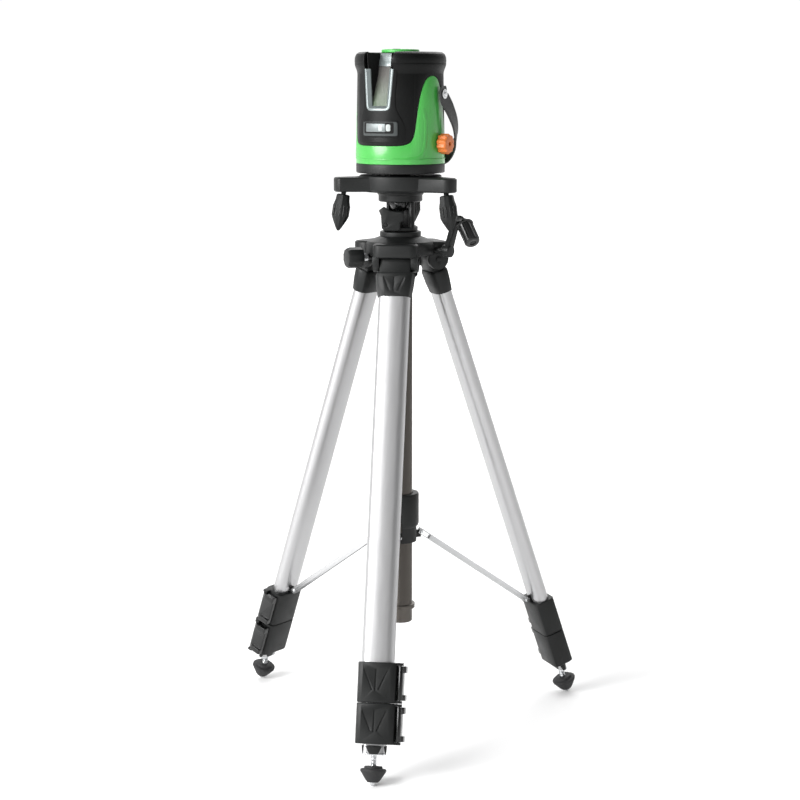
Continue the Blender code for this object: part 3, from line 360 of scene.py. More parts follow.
def strap_black():
    """Soft moulded strap with a fine leather-like crease, darkened along its lines by painted shade."""
    bench = Bench("strap_black")
    where = bench.grain_place()
    crease = bench.cells(where, 900.0, "DISTANCE_TO_EDGE")
    pores = bench.cloud(where, 2600.0, 3.0)
    haze = bench.cloud(where, 60.0, 4.0)
    tone = bench.blend(haze, (0.020, 0.020, 0.021, 1), (0.040, 0.041, 0.040, 1))
    # Painted shade: the tone darkens towards each crease line, where shade would fall in the groove.
    tone = bench.blend(bench.between(crease, 0.0, 0.08, 0.5, 0.0), tone, (0.010, 0.010, 0.010, 1))
    folds = bench.between(crease, 0.0, 0.16)
    relief = bench.relief(folds, 0.5, 0.00012, bench.relief(pores, 0.3, 0.00004))
    return bench.finish("black_rubber", Base_Color=tone,
                        Roughness=bench.between(haze, 0.3, 0.7, 0.50, 0.64), Normal=relief)


def foot_rubber():
    """Dull foot rubber with dust held in its low spots."""
    bench = Bench("foot_rubber")
    where = bench.grain_place()
    dust = bench.cloud(where, 170.0, 6.0, 0.7)
    pits = bench.cells(where, 1500.0)
    held = bench.between(dust, 0.55, 0.78) * 0.4
    tone = bench.blend(held, (0.013, 0.013, 0.014, 1), (0.10, 0.095, 0.085, 1))
    return bench.finish("black_rubber", Base_Color=tone,
                        Roughness=bench.between(dust, 0.3, 0.7, 0.62, 0.80),
                        Normal=bench.relief(pits + dust, 0.5, 0.00010))


def plate_pale():
    """The sliding switch's pale plate: brushed across."""
    bench = Bench("switch_plate")
    lines = bench.cloud(bench.grain_place((0.02, 0.02, 1)), 5200.0, 2.0)
    tone = bench.blend(lines, (0.125, 0.142, 0.142, 1), (0.185, 0.205, 0.205, 1))
    return bench.finish("steel", Base_Color=tone, Metallic=0.35,
                        Roughness=bench.between(lines, 0.3, 0.7, 0.32, 0.46),
                        Normal=bench.relief(lines, 0.2, 0.00003))


def printed_white():
    """Printed white, a little uneven where the ink is thin."""
    bench = Bench("printed_white")
    ink = bench.cloud(bench.grain_place(), 1900.0, 4.0)
    tone = bench.blend(bench.between(ink, 0.4, 0.7), (0.36, 0.39, 0.38, 1), (0.46, 0.49, 0.48, 1))
    return bench.finish("steel", Base_Color=tone, Roughness=bench.between(ink, 0.3, 0.7, 0.40, 0.55),
                        Normal=bench.relief(ink, 0.15, 0.00003))


def vial_liquid():
    """The bubble vial's tinted liquid under a clear lens."""
    bench = Bench("vial_liquid")
    where = bench.grain_place()
    swirl = bench.cloud(where, 240.0, 2.0)
    tone = bench.blend(swirl, (0.22, 0.48, 0.10, 1), (0.42, 0.70, 0.16, 1))
    return bench.finish("window_glass", Base_Color=tone,
                        Roughness=bench.between(swirl, 0.2, 0.8, 0.05, 0.12), Coat_Weight=1.0,
                        Coat_Roughness=0.02, Normal=bench.relief(swirl, 0.04, 0.00004))


def tube(name, colour, *rest):
    return anodised(f"{name}_anodised", "silver_tube", colour, *rest)


def black(name, factor, *rest):
    """A black moulding, darker than the user's black by a factor."""
    return moulded(name, "black_plastic", shade(colour_of("black"), factor), *rest)


MAKERS = {
    "tube": lambda: tube("tube", colour_of("tube_silver"), 0.36, 0.94, 0.92),
    "inner_tube": lambda: tube("inner_tube", shade(colour_of("tube_silver"), 0.92), 0.30),
    "grey_tube": lambda: tube("centre_tube", (0.115, 0.105, 0.095), 0.34, 0.85),
    "brace": lambda: anodised("brace_alloy", "brace_alloy", (0.58, 0.585, 0.59), 0.33, 0.88, 0.9),
    "steel": lambda: plated("steel_plated", "steel", (0.62, 0.63, 0.64), 0.24),
    "black": lambda: black("moulding_black", 1.0, 0.44),
    "cover": lambda: black("cover_black", 0.45, 0.42, 0.35, 3000.0, 0.12, 0.0, 0.17),
    "gloss_black": lambda: black("grip_black", 0.5, 0.24, 0.15, 3200.0, 0.1, 0.35, 0.3),
    "inside_black": lambda: moulded("recess_black", "black_plastic", (0.003,) * 3, 0.75, 0.3),
    "orange": lambda: moulded("knob_orange", "orange_plastic", colour_of("orange"), 0.42, 0.4, 2400.0,
                              0.08, 0.0, 0.5),
    "key_green": lambda: moulded("keypad_green", "green_plastic", (0.06, 0.42, 0.07), 0.42, 0.3,
                                 2400.0, 0.08, 0.0, 0.5),
    "green": shell_green,
    "rim_grey": lambda: moulded("switch_rim_grey", "black_plastic", (0.050, 0.056, 0.056), 0.40),
    "trim": trim_silver,
    "pane": pane_tint,
    "strap": strap_black,
    "rubber": foot_rubber,
    "plate": plate_pale,
    "white": printed_white,
    "vial": vial_liquid,
}


# ---- pieces ----
def settle(obj):
    """The plain mesh that an object's modifiers make."""
    bpy.context.view_layer.update()
    graph = bpy.context.evaluated_depsgraph_get()
    mesh = bpy.data.meshes.new_from_object(obj.evaluated_get(graph))
    obj.modifiers.clear()
    return mesh


def linked(name, data):
    """A new object in the scene."""
    obj = bpy.data.objects.new(name, data)
    bpy.context.scene.collection.objects.link(obj)
    return obj


def write_grain(mesh, place):
    """Store each point's place in the piece's own frame for its materials."""
    back = place.inverted()
    layer = mesh.attributes.new("grain", "FLOAT_VECTOR", "POINT")
    for point, row in zip(mesh.vertices, layer.data):
        row.vector = back @ point.co


def add_piece(name, mesh, body, finish, place, corner=34.0):
    """Link a finished mesh as a piece that rides on a body."""
    mesh.name = name
    mesh.materials.clear()
    mesh.materials.append(surface(finish))
    mesh.shade_smooth()
    mesh.set_sharp_from_angle(angle=math.radians(corner))
    write_grain(mesh, place)
    obj = linked(name, mesh)
    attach(obj, body)
    surface(finish)["tripod_slot"]
    return obj


def placed(name, mesh, body, finish, place, corner=34.0, edge=0.0, segments=2, angle=30.0):
    """Move a mesh out of a frame, round its edges if asked to, and add it as a piece."""
    mesh.transform(place)
    if edge:
        mesh = softened(mesh, edge, segments, angle)
    return add_piece(name, mesh, body, finish, place, corner)


def softened(mesh, width, segments=2, angle=30.0):
    """Round a mesh's corners and weight its normals, as moulded or pressed parts have."""
    obj = linked("softening", mesh)
    round_off = obj.modifiers.new("round", "BEVEL")
    round_off.width = width
    round_off.segments = segments
    round_off.limit_method = "ANGLE"
    round_off.angle_limit = math.radians(angle)
    round_off.use_clamp_overlap = True
    weigh = obj.modifiers.new("weigh", "WEIGHTED_NORMAL")
    weigh.keep_sharp = True
    made = settle(obj)
    bpy.data.objects.remove(obj)
    return made


def body_of(node):
    """The body that a CAD node belongs to."""
    return next(name for name, row in frame["record"]["behaviour"]["bodies"].items() if node in row)


def refined(node, finish, place, edge, corner=34.0, flat=0.4):
    """A merged, softened and smoothly shaded copy that stands for a CAD node.

    The edge is the rounding in mm; the corner and flat angles are in degrees.
    """
    shell = bmesh.new()
    shell.from_mesh(frame["nodes"][node].data)
    bmesh.ops.remove_doubles(shell, verts=shell.verts, dist=0.000002)
    bmesh.ops.dissolve_limit(shell, angle_limit=math.radians(flat), verts=shell.verts, edges=shell.edges)
    mesh = bpy.data.meshes.new(node)
    shell.to_mesh(mesh)
    shell.free()
    if edge > 0:
        mesh = softened(mesh, edge * MM)
    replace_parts(add_piece(f"{node}_finish", mesh, body_of(node), finish, place, corner), node)


def mesh_of(points, faces, name="shape"):
    """A mesh from points and faces, with its faces turned outwards."""
    mesh = bpy.data.meshes.new(name)
    mesh.from_pydata([tuple(point) for point in points], [], faces)
    shell = bmesh.new()
    shell.from_mesh(mesh)
    bmesh.ops.remove_doubles(shell, verts=shell.verts, dist=0.0000005)
    bmesh.ops.recalc_face_normals(shell, faces=shell.faces)
    shell.to_mesh(mesh)
    shell.free()
    return mesh


def tube_through(rings, closed=False):
    """Skin a row of equal rings; the ends are capped unless the row closes on itself."""
    count, size = len(rings), len(rings[0])
    points = [p for ring in rings for p in ring]
    faces = []
    for i in range(count if closed else count - 1):
        near, far = i * size, ((i + 1) % count) * size
        for j in range(size):
            k = (j + 1) % size
            faces.append((near + j, near + k, far + k, far + j))
    if not closed:
        faces.append(tuple(range(size)))
        faces.append(tuple((count - 1) * size + j for j in reversed(range(size))))
    return mesh_of(points, faces)


def full_turn(count):
    """Equal steps of a full turn, in radians."""
    return [2 * math.pi * i / count for i in range(count)]


def around(profile, angles):
    """Copies of a row of (radius, height) pairs, stood about Z at each angle."""
    return [[Vector((r * math.cos(a), r * math.sin(a), z)) for r, z in profile] for a in angles]


def turned(profile, sides):
    """A solid about Z from (radius, height) pairs that start and end on the axis."""
    points, faces, rings = [], [], []
    for r, z in profile:
        if r < 1e-7:
            rings.append([len(points)])
            points.append((0, 0, z))
        else:
            rings.append(list(range(len(points), len(points) + sides)))
            points += [(r * math.cos(a), r * math.sin(a), z) for a in full_turn(sides)]
    for low, high in zip(rings, rings[1:]):
        for j in range(sides):
            k = (j + 1) % sides
            corners = (low[j % len(low)], low[k % len(low)], high[k % len(high)], high[j % len(high)])
            faces.append(tuple(dict.fromkeys(corners)))
    return mesh_of(points, faces)


def collar(profile, sides=48):
    """A ring about Z from a closed loop of (radius, height) pairs."""
    return tube_through(around(profile, full_turn(sides)), True)


def wrapped(flat, proud, sunk, centre=0.0, mm_per_degree=1.0, mid_z=0.0):
    """Give a flat outline its thickness and lay it on the case: X runs round, Y up in mm."""
    raised = bmesh.ops.extrude_face_region(flat, geom=flat.faces[:])
    for item in raised["geom"]:
        if isinstance(item, bmesh.types.BMVert):
            item.co.z = 1.0
    for vert in flat.verts:
        x, y, outer = vert.co
        vert.co = on_case(centre + x / mm_per_degree, mid_z + y * MM, proud if outer > 0.5 else sunk)
    bmesh.ops.recalc_face_normals(flat, faces=flat.faces)
    mesh = bpy.data.meshes.new("wrapped")
    flat.to_mesh(mesh)
    flat.free()
    return mesh


def case_patch(first, last, low, high, proud, sunk, radius, steps):
    """A rounded-corner slab that lies on the case between two angles and two heights."""
    mid_z = (low + high) / 2
    half_z = (high - low) / 2
    mm_per_degree = math.radians(1) * case_radius(mid_z) / MM
    half_w = (last - first) / 2 * mm_per_degree
    centre = (first + last) / 2
    outline = []
    for corner, (sx, sz) in enumerate(((1, -1), (1, 1), (-1, 1), (-1, -1))):
        for step in range(5):
            turn = math.radians(-90 + 90 * corner + 22.5 * step)
            outline.append((sx * (half_w - radius) + radius * math.cos(turn),
                            sz * (half_z / MM - radius) + radius * math.sin(turn)))
    cuts = [-half_w + 2 * half_w * i / steps for i in range(1, steps)]
    flat = bmesh.new()
    flat.faces.new([flat.verts.new((x, y, 0)) for x, y in outline])
    for cut in cuts:
        geometry = flat.verts[:] + flat.edges[:] + flat.faces[:]
        bmesh.ops.bisect_plane(flat, geom=geometry, plane_co=(cut, 0, 0), plane_no=(1, 0, 0))
    return wrapped(flat, proud, sunk, centre, mm_per_degree, mid_z)


def sweep(path, ups, section_at):
    """Sweep (across, up) pairs along points; a function of the station gives the pairs."""
    rings = []
    for i, point in enumerate(path):
        ahead = path[min(i + 1, len(path) - 1)] - path[max(i - 1, 0)]
        up = ups[i].normalized()
        across = ahead.normalized().cross(up).normalized()
        rings.append([point + across * a + up * b for a, b in section_at(i)])
    return tube_through(rings)


# ---- repeated details, grown by Geometry Nodes ----
class Grower(Nodes):
    """A Geometry Nodes tree with named sizes that ends in Realize Instances and Set Material."""

    def __init__(self, name, sizes):
        super().__init__(bpy.data.node_groups.new(name, "GeometryNodeTree"))
        face = self.tree.interface
        face.new_socket("Geometry", in_out="INPUT", socket_type="NodeSocketGeometry")
        for label, value in sizes.items():
            kind = "NodeSocketInt" if isinstance(value, int) else "NodeSocketFloat"
            face.new_socket(label, in_out="INPUT", socket_type=kind).default_value = value
        face.new_socket("Finish", in_out="INPUT", socket_type="NodeSocketMaterial")
        face.new_socket("Geometry", in_out="OUTPUT", socket_type="NodeSocketGeometry")
        self.entry = self.tree.nodes.new("NodeGroupInput")

    def size(self, label):
        return Wire(self, self.entry.outputs[label])

    def close(self, geometry):
        whole = self.node("GeometryNodeRealizeInstances", None, {0: geometry})
        coloured = self.node("GeometryNodeSetMaterial", None,
                             {"Geometry": whole, "Material": self.size("Finish")})
        self.end("NodeGroupOutput", coloured)
        return self.tree


def rib_ring_tree():
    """Rounded ribs standing round a barrel."""
    tree = Grower("barrel_ribs", {"Count": 12, "Barrel Radius": 0.01, "Rib Length": 0.01,
                                  "Rib Radius": 0.001})
    ring = tree.node("GeometryNodeMeshCircle", {"fill_type": "NONE"},
                     {"Vertices": tree.size("Count"), "Radius": tree.size("Barrel Radius")})
    rib = tree.node("GeometryNodeMeshCylinder", {"fill_type": "NGON"},
                    {"Vertices": 8, "Radius": tree.size("Rib Radius"), "Depth": tree.size("Rib Length")})
    place = tree.node("GeometryNodeInputPosition")
    turn = tree.node("FunctionNodeAlignRotationToVector", {"axis": "X"}, {"Vector": place})
    return tree.close(tree.node("GeometryNodeInstanceOnPoints", None,
                                {"Points": ring, "Instance": rib, "Rotation": turn}))


def fastener_tree():
    """Heads seated on points: a washer-like skirt of any number of sides under a dome."""
    tree = Grower("fasteners", {"Sides": 6, "Head Radius": 0.003, "Head Height": 0.0015,
                                "Dome Height": 0.0008})
    radius, height = tree.size("Head Radius"), tree.size("Head Height")
    skirt = tree.node("GeometryNodeMeshCylinder", {"fill_type": "NGON"},
                      {"Vertices": tree.size("Sides"), "Radius": radius, "Depth": height})
    ball = tree.node("GeometryNodeMeshUVSphere", None, {"Segments": 20, "Rings": 10, "Radius": 1.0})
    inner = radius * 0.84
    spread = tree.node("ShaderNodeCombineXYZ", None, {0: inner, 1: inner, 2: tree.size("Dome Height")})
    shift = tree.node("ShaderNodeCombineXYZ", None, {2: height * 0.5})
    dome = tree.node("GeometryNodeTransform", None,
                     {"Geometry": ball, "Translation": shift, "Scale": spread})
    head = tree.node("GeometryNodeJoinGeometry", None, {0: [skirt, dome]})
    facing = tree.node("GeometryNodeInputNamedAttribute", {"data_type": "FLOAT_VECTOR"},
                       {"Name": "facing"})
    turn = tree.node("FunctionNodeAlignRotationToVector", {"axis": "Z"}, {"Vector": facing})
    return tree.close(tree.node("GeometryNodeInstanceOnPoints", None,
                                {"Points": tree.size("Geometry"), "Instance": head, "Rotation": turn}))


def thread_tree():
    """A screw thread: one round ridge wound up a rod."""
    tree = Grower("screw_thread", {"Rod Radius": 0.003, "Turns": 10.0, "Length": 0.01, "Ridge": 0.0004})
    rod = tree.size("Rod Radius")
    coil = tree.node("GeometryNodeCurveSpiral", None,
                     {"Resolution": 20, "Rotations": tree.size("Turns"), "Start Radius": rod,
                      "End Radius": rod, "Height": tree.size("Length")})
    ridge = tree.node("GeometryNodeCurvePrimitiveCircle", {"mode": "RADIUS"},
                      {"Resolution": 5, "Radius": tree.size("Ridge")})
    return tree.close(tree.node("GeometryNodeCurveToMesh", None,
                                {"Curve": coil, "Profile Curve": ridge, "Fill Caps": True}))


TREES = {}


def grown(tree, sizes, finish, place, points=None):
    """Run one of the trees and return its plain mesh, moved into place."""
    if tree.__name__ not in TREES:
        TREES[tree.__name__] = tree()
    group = TREES[tree.__name__]
    seed = bpy.data.meshes.new("seed")
    rows = points or [((0, 0, 0), (0, 0, 1))]
    seed.from_pydata([tuple(point) for point, _ in rows], [], [])
    layer = seed.attributes.new("facing", "FLOAT_VECTOR", "POINT")
    for row, (_, way) in zip(layer.data, rows):
        row.vector = way
    obj = linked("growing", seed)
    grow = obj.modifiers.new("grow", "NODES")
    grow.node_group = group
    values = dict(sizes, Finish=surface(finish))
    for socket in group.interface.items_tree:
        if socket.item_type == "SOCKET" and socket.in_out == "INPUT" and socket.name in values:
            grow[socket.identifier] = values[socket.name]
    mesh = settle(obj)
    bpy.data.objects.remove(obj)
    if not mesh.polygons:
        raise RuntimeError(f"{tree.__name__} grew nothing")
    if "facing" in mesh.attributes:
        mesh.attributes.remove(mesh.attributes["facing"])
    mesh.transform(place)
    return mesh


def fasteners(name, body, finish, place, points, sides, radius, height, dome):
    """Rivets or bolt heads on given points of one body, with sizes in millimetres."""
    sizes = {"Sides": sides, "Head Radius": radius * MM, "Head Height": height * MM,
             "Dome Height": dome * MM}
    mesh = grown(fastener_tree, sizes, finish, place, points)
    return add_piece(name, mesh, body, finish, place, 30.0)


def ribs(name, body, finish, place, count, radius, length, rib):
    """Ribs round a barrel whose axis is the place's Z, with sizes in millimetres."""
    sizes = {"Count": count, "Barrel Radius": radius * MM, "Rib Length": length * MM,
             "Rib Radius": rib * MM}
    mesh = grown(rib_ring_tree, sizes, finish, place)
    return add_piece(name, mesh, body, finish, place, 50.0)


def thread(name, body, place, radius, length, pitch, ridge):
    """A thread that starts at the place's origin and climbs its Z, in millimetres."""
    sizes = {"Rod Radius": radius * MM, "Turns": length / pitch, "Length": length * MM,
             "Ridge": ridge * MM}
    mesh = grown(thread_tree, sizes, "steel", place)
    return add_piece(name, mesh, body, "steel", place, 60.0)


def points_in(node, place):
    """A CAD node's points, seen from a frame."""
    back = place.inverted()
    return [back @ v.co for v in frame["nodes"][node].data.vertices]


def reach(node, place, near, within):
    """How far a CAD node stands out along a frame's X, near a point of that frame."""
    return max(abs(p.x) for p in points_in(node, place)
               if abs(p.y - near[0]) < within and abs(p.z - near[1]) < within)


def barrel(node, place, share):
    """A turned node's widest radius, the frame at its barrel's middle, and the barrel's length.

    The barrel is where the node is wider than a share of its widest; both sizes are in mm.
    """
    rows = points_in(node, place)
    widest = max(p.xy.length for p in rows)
    heights = [p.z for p in rows if p.xy.length > widest * share]
    low, high = min(heights), max(heights)
    return widest / MM, place @ Matrix.Translation((0, 0, (low + high) / 2)), (high - low) / MM


def top_of(node, x, y):
    """The height of a CAD node's upper surface at a place on the ground plan."""
    mesh = frame["nodes"][node].data
    tree = BVHTree.FromPolygons([v.co for v in mesh.vertices], [tuple(f.vertices) for f in mesh.polygons])
    where = tree.ray_cast(Vector((x, y, 2.0)), Vector((0, 0, -1)))[0]
    if where is None:
        raise RuntimeError(f"nothing of {node} stands over {x:.4f}, {y:.4f}")
    return where.z


# ---- sizes and colours that a user would change ----
def colour_property(name, description, default):
    return FloatVectorProperty(name=name, description=description, subtype="COLOR", size=3,
                               min=0, max=1, default=default)


def length_property(name, description, default, low, high):
    return FloatProperty(name=name, description=description, unit="LENGTH",
                         default=default, min=low, max=high)


def number_property(name, description, default, low, high, unit="NONE"):
    return FloatProperty(name=name, description=description, unit=unit,
                         default=default, min=low, max=high)


class TripodColours(bpy.types.PropertyGroup):
    """Base colours of the painted, moulded and anodised parts."""

    case_green: colour_property("Case green", "Green of the laser's case", (0.048, 0.345, 0.052))
    orange: colour_property("Knob orange", "Orange of the fine-turn knob", (0.60, 0.155, 0.028))
    black: colour_property("Moulding black", "Black of the moulded parts", (0.0072, 0.0080, 0.0078))
    trim_silver: colour_property("Trim silver", "Paint of the window's trim", (0.165, 0.192, 0.192))
    tube_silver: colour_property("Tube silver", "Anodised finish of the leg tubes", (0.50, 0.50, 0.505))


class LaserSizes(bpy.types.PropertyGroup):
    """Sizes of the details on the laser."""

    panel_proud: length_property("Front panel", "How far the bottle-shaped front panel stands proud",
                                 0.0008, 0.0002, 0.002)
    trim_width: length_property("Trim width", "Width of the silver trim round the window",
                                0.0054, 0.003, 0.008)
    crease: length_property("Case crease", "Radius of the raised crease on the case's flank",
                            0.0011, 0.0004, 0.003)
    strap_rivet: length_property("Strap rivet", "Radius of the rivets that hold the carrying strap",
                                 0.0056, 0.002, 0.008)


class TripodSizes(bpy.types.PropertyGroup):
    """Sizes of the details on the tripod and its head."""

    corner: number_property("Corner", "Rounding of the corners of moulded parts, in millimetres",
                            0.35, 0.05, 1.0)
    screw_ribs: IntProperty(name="Screw ribs", description="Grip ribs round each levelling foot",
                            default=14, min=6, max=36)
    thread_pitch: number_property("Thread pitch", "Pitch of the foot rods' thread, in millimetres",
                                  1.0, 0.5, 2.0)


class StageSizes(bpy.types.PropertyGroup):
    """The camera and the lights."""

    lens: number_property("Lens", "The camera's focal length", 80.87, 20, 200, "CAMERA")
    distance: length_property("Distance", "From the tripod's axis to the camera, on the level",
                              2.130, 1, 6)
    height: length_property("Height", "The camera's height above the floor", 0.776, 0.1, 3)
    key: number_property("Key light", "Power of the large soft light at the front left",
                         125.0, 0, 500, "POWER")
    front_share: number_property("Front share", "How bright the room is behind the camera", 0.42, 0, 1)
    right_share: number_property("Right share", "How bright the room is on the right", 0.30, 0, 1)


# ---- the laser ----
class LASER_OT_shells(bpy.types.Operator):
    """Build the laser's shells, crease, keypad and battery door"""

    bl_idname = "laser.shells"
    bl_label = "Laser shells"

    def execute(self, context):
        place = laser_place()
        corner = context.scene.tripod_sizes.corner
        refined("green_case", "green", place, corner)
        refined("black_cover", "cover", place, corner)
        refined("top_rim", "cover", place, corner, 38.0)
        refined("turntable_ring", "black", place, corner)
        refined("keypad", "key_green", place, 0.3)
        refined("mode_button", "rubber", place, 0.25)
        refined("pendulum", "steel", place, 0.2)
        for side, sign in (("right", 1), ("left", -1)):
            self.crease(context, place, side, sign)
        self.rim_flare(place)
        self.battery_door(place)
        bead = collar([(0.0508, 0.6852), (0.0525, 0.6852), (0.0527, 0.6858), (0.0525, 0.6864),
                       (0.0508, 0.6864)], 96)
        placed("case_foot_bead", bead, "laser", "green", place)
        return {"FINISHED"}

    def rim_flare(self, place):
        """The hollow curve by which the cover grows into the rim, open at the window."""
        profile = ((49.8, 783.0), (50.32, 783.0), (50.46, 784.6), (50.80, 786.2), (51.35, 787.8),
                   (52.10, 789.6), (52.95, 792.0), (53.45, 794.8), (52.60, 795.6), (49.8, 792.0))
        gap, steps = 21.0, 96
        rings = []
        for step in range(steps + 1):
            a = math.radians(gap + (360 - 2 * gap) * step / steps)
            rings.append([Vector((r * MM * math.sin(a), -r * MM * math.cos(a), z * MM))
                          for r, z in profile])
        placed("rim_flare", tube_through(rings), "laser", "cover", place, 60.0)

    def crease(self, context, place, side, sign):
        """The soft ridge that runs down the flank and turns forward along the foot."""
        stations = ((61.5, 747.0), (64.0, 739.0), (65.6, 729.5), (66.0, 718.0), (65.0, 707.0),
                    (63.2, 698.0), (60.4, 691.8), (55.2, 687.9), (48.4, 686.2), (38.0, 685.6),
                    (26.0, 685.4), (14.0, 685.4))
        path, ups = [], []
        for (degrees, z), ahead in zip(stations[:-1], stations[1:]):
            for share in (0.0, 0.25, 0.5, 0.75):
                angle = sign * (degrees + (ahead[0] - degrees) * share)
                height = (z + (ahead[1] - z) * share) * MM
                path.append(on_case(angle, height, -0.0002))
                ups.append(Vector((path[-1].x, path[-1].y, 0)))
        size = context.scene.laser_sizes.crease

        def section_at(i):
            taper = min(1.0, i / 6 + 0.05, (len(path) - 1 - i) / 8 + 0.05)
            return [(size * 2.3 * math.cos(a), size * taper * 0.62 * math.sin(a))
                    for a in full_turn(14)]

        placed(f"case_crease_{side}", sweep(path, ups, section_at), "laser", "green", place, 70.0)

    def battery_door(self, place):
        """The door on the back, with grip ribs and a latch."""
        door = case_patch(154.0, 206.0, 0.700, 0.752, 0.0007, -0.0012, 4.0, 20)
        placed("battery_door", door, "laser", "green", place, edge=0.0003)
        for row in range(5):
            z = 0.7395 + 0.0022 * row
            rib = case_patch(170.0, 190.0, z, z + 0.0011, 0.0012, 0.0, 0.5, 8)
            placed(f"battery_door_rib_{row + 1}", rib, "laser", "green", place, edge=0.00025)
        latch = case_patch(176.0, 184.0, 0.7528, 0.7562, 0.0010, -0.0012, 1.2, 8)
        placed("battery_door_latch", latch, "laser", "cover", place, edge=0.0003)


class LASER_OT_window(bpy.types.Operator):
    """Build the raised front panel, the window's silver trim, its dark recess and the pane"""

    bl_idname = "laser.window"
    bl_label = "Window"

    def execute(self, context):
        place = laser_place()
        sizes = context.scene.laser_sizes
        self.panel(place, sizes.panel_proud)
        self.trim(place, sizes.trim_width)
        self.recess(place)
        refined("front_window", "pane", place, 0.15)
        self.pane_head(place)
        return {"FINISHED"}

    def panel(self, place, proud):
        """A bottle-shaped panel with its neck beside the window and its belly below."""
        halves = ((705.0, 33.0), (705.8, 35.0), (708.0, 37.0), (712.0, 37.9), (716.0, 38.0),
                  (720.0, 37.4), (724.0, 36.5), (727.0, 35.2), (730.0, 33.5), (733.0, 31.4),
                  (736.0, 29.5), (739.0, 27.6), (742.0, 26.0), (745.0, 25.0), (748.0, 24.5),
                  (754.0, 24.4), (760.0, 24.5), (767.0, 25.0), (774.0, 25.7), (781.0, 26.4),
                  (787.2, 27.0))
        foot, half_foot, spread = 742.0, 13.6, 0.092
        beside, across_gap = 4, 6
        flat = bmesh.new()
        rows = []
        for z, half in halves:
            inner = math.asin((half_foot + (max(z, foot) - foot) * spread) * MM / case_radius(z * MM))
            inner = math.degrees(inner)
            across = [-half + (half - inner) * i / beside for i in range(beside)]
            across += [-inner + 2 * inner * i / across_gap for i in range(across_gap + 1)]
            across += [inner + (half - inner) * i / beside for i in range(1, beside + 1)]
            rows.append([flat.verts.new((x, z, 0)) for x in across])
        for (z, _), low, high in zip(halves, rows, rows[1:]):
            for j in range(len(low) - 1):
                in_window = z >= foot and beside <= j < beside + across_gap
                if not in_window:
                    flat.faces.new((low[j], low[j + 1], high[j + 1], high[j]))
        mesh = wrapped(flat, proud, -0.0010)
        placed("front_panel", mesh, "laser", "cover", place, 40.0, 0.0004, 3, 40.0)

    def trim(self, place, width):
        """A bevelled U whose inner lip falls away into the recess."""
        side = [(16.6, 788.4), (15.9, 780.0), (15.1, 770.0), (14.3, 760.0), (13.5, 751.0), (13.15, 747.2)]
        turn = [(12.7, 745.3), (11.5, 744.1), (9.8, 743.7)]
        bottom = [(6.0, 743.7), (2.0, 743.7)]
        right = side + turn + bottom
        stations = [(-x, z) for x, z in right] + [(x, z) for x, z in reversed(right)]
        path, ups = [], []
        for x, z in stations:
            r = case_radius(z * MM)
            up = Vector((x * MM / r, -math.sqrt(1 - (x * MM / r) ** 2), 0))
            path.append(Vector((0, 0, z * MM)) + up * r)
            ups.append(up)
        half = width / 2
        section = [(half, -0.0008), (half, 0.0009), (half - 0.0005, 0.0014), (0.0006, 0.0014),
                   (0.0, 0.0011), (-half + 0.0004, -0.0022), (-half, -0.0028), (-half, -0.0040),
                   (-half + 0.0012, -0.0040)]
        placed("window_trim", sweep(path, ups, lambda i: section), "laser", "trim", place, 28.0)

    def recess(self, place):
        """Dark walls between the trim and the pane, one on each side, and a sill."""
        rise, pane_foot, lean, half_foot, widening, steps = 0.0574, 0.048, 0.0234, 0.0114, 0.0042, 14
        for side, sign in (("right", 1), ("left", -1)):
            rings = []
            for step in range(steps + 1):
                z = (741.8 + 64.2 * step / steps) * MM
                share = (z - WINDOW_FOOT) / rise
                half = half_foot + share * widening
                front = math.sqrt((case_radius(z) - 0.0012) ** 2 - half ** 2)
                back = pane_foot - min(share, 1.0) * lean - 0.0008
                near, far = sign * (half - 0.0001), sign * (half + 0.0006)
                deep = sign * (half - 0.0001 - 0.0031 * min(share * 1.6, 1.0))
                rings.append([Vector((x, -y, z)) for x, y in ((near, front), (deep, back),
                                                              (far, back), (far, front))])
            placed(f"window_recess_{side}", tube_through(rings), "laser", "inside_black", place)
        corners = [(x, y, z) for x in (-0.0118, 0.0118) for y in (-0.0496, -0.0455)
                   for z in (0.7408, 0.7422)]
        sill = mesh_of(corners, [(0, 1, 3, 2), (4, 6, 7, 5), (0, 4, 5, 1), (2, 3, 7, 6), (0, 2, 6, 4),
                                 (1, 5, 7, 3)])
        placed("window_sill", sill, "laser", "inside_black", place, edge=0.0002)

    def pane_head(self, place):
        """The pale bevel above the pane, seen through the notch in the rim."""
        deep = 0.0009
        rings = [[Vector((-half, y, z)), Vector((half, y, z)), Vector((half, y + deep, z)),
                  Vector((-half, y + deep, z))]
                 for z, y, half in ((0.7915, -0.0288, 0.0121), (0.7955, -0.0272, 0.0123),
                                    (0.8015, -0.0252, 0.0125), (0.8062, -0.0238, 0.0127))]
        placed("window_head_bevel", tube_through(rings), "laser", "trim", place, edge=0.0002)


class LASER_OT_display(bpy.types.Operator):
    """Build the sliding switch below the window"""

    bl_idname = "laser.display"
    bl_label = "Switch plate"

    def execute(self, context):
        place = laser_place()
        # The well is a near-black sheet round the plate. Right of the marks it is the switch's real dark slot, and
        # above the plate it is a painted shadow band.
        rows = (("switch_bezel", -24.0, 28.0, 711.0, 730.0, 1.5, 2.6, "cover"),
                ("switch_rim", -22.4, 27.4, 712.6, 728.6, 1.75, 2.2, "rim_grey"),
                ("switch_well", -20.4, 22.4, 715.4, 728.0, 1.95, 1.6, "inside_black"),
                ("switch_plate", -16.6, 12.2, 717.2, 726.6, 2.2, 0.8, "plate"),
                ("switch_mark_left", 2.6, 8.0, 718.4, 725.4, 2.4, 1.6, "white"),
                ("switch_mark_right", 12.8, 18.6, 718.0, 725.8, 2.4, 1.6, "white"))
        for name, first, last, low, high, proud, radius, finish in rows:
            mesh = case_patch(first, last, low * MM, high * MM, proud * MM, 0.0002, radius, 12)
            placed(name, mesh, "laser", finish, place, edge=0.00022)
        return {"FINISHED"}


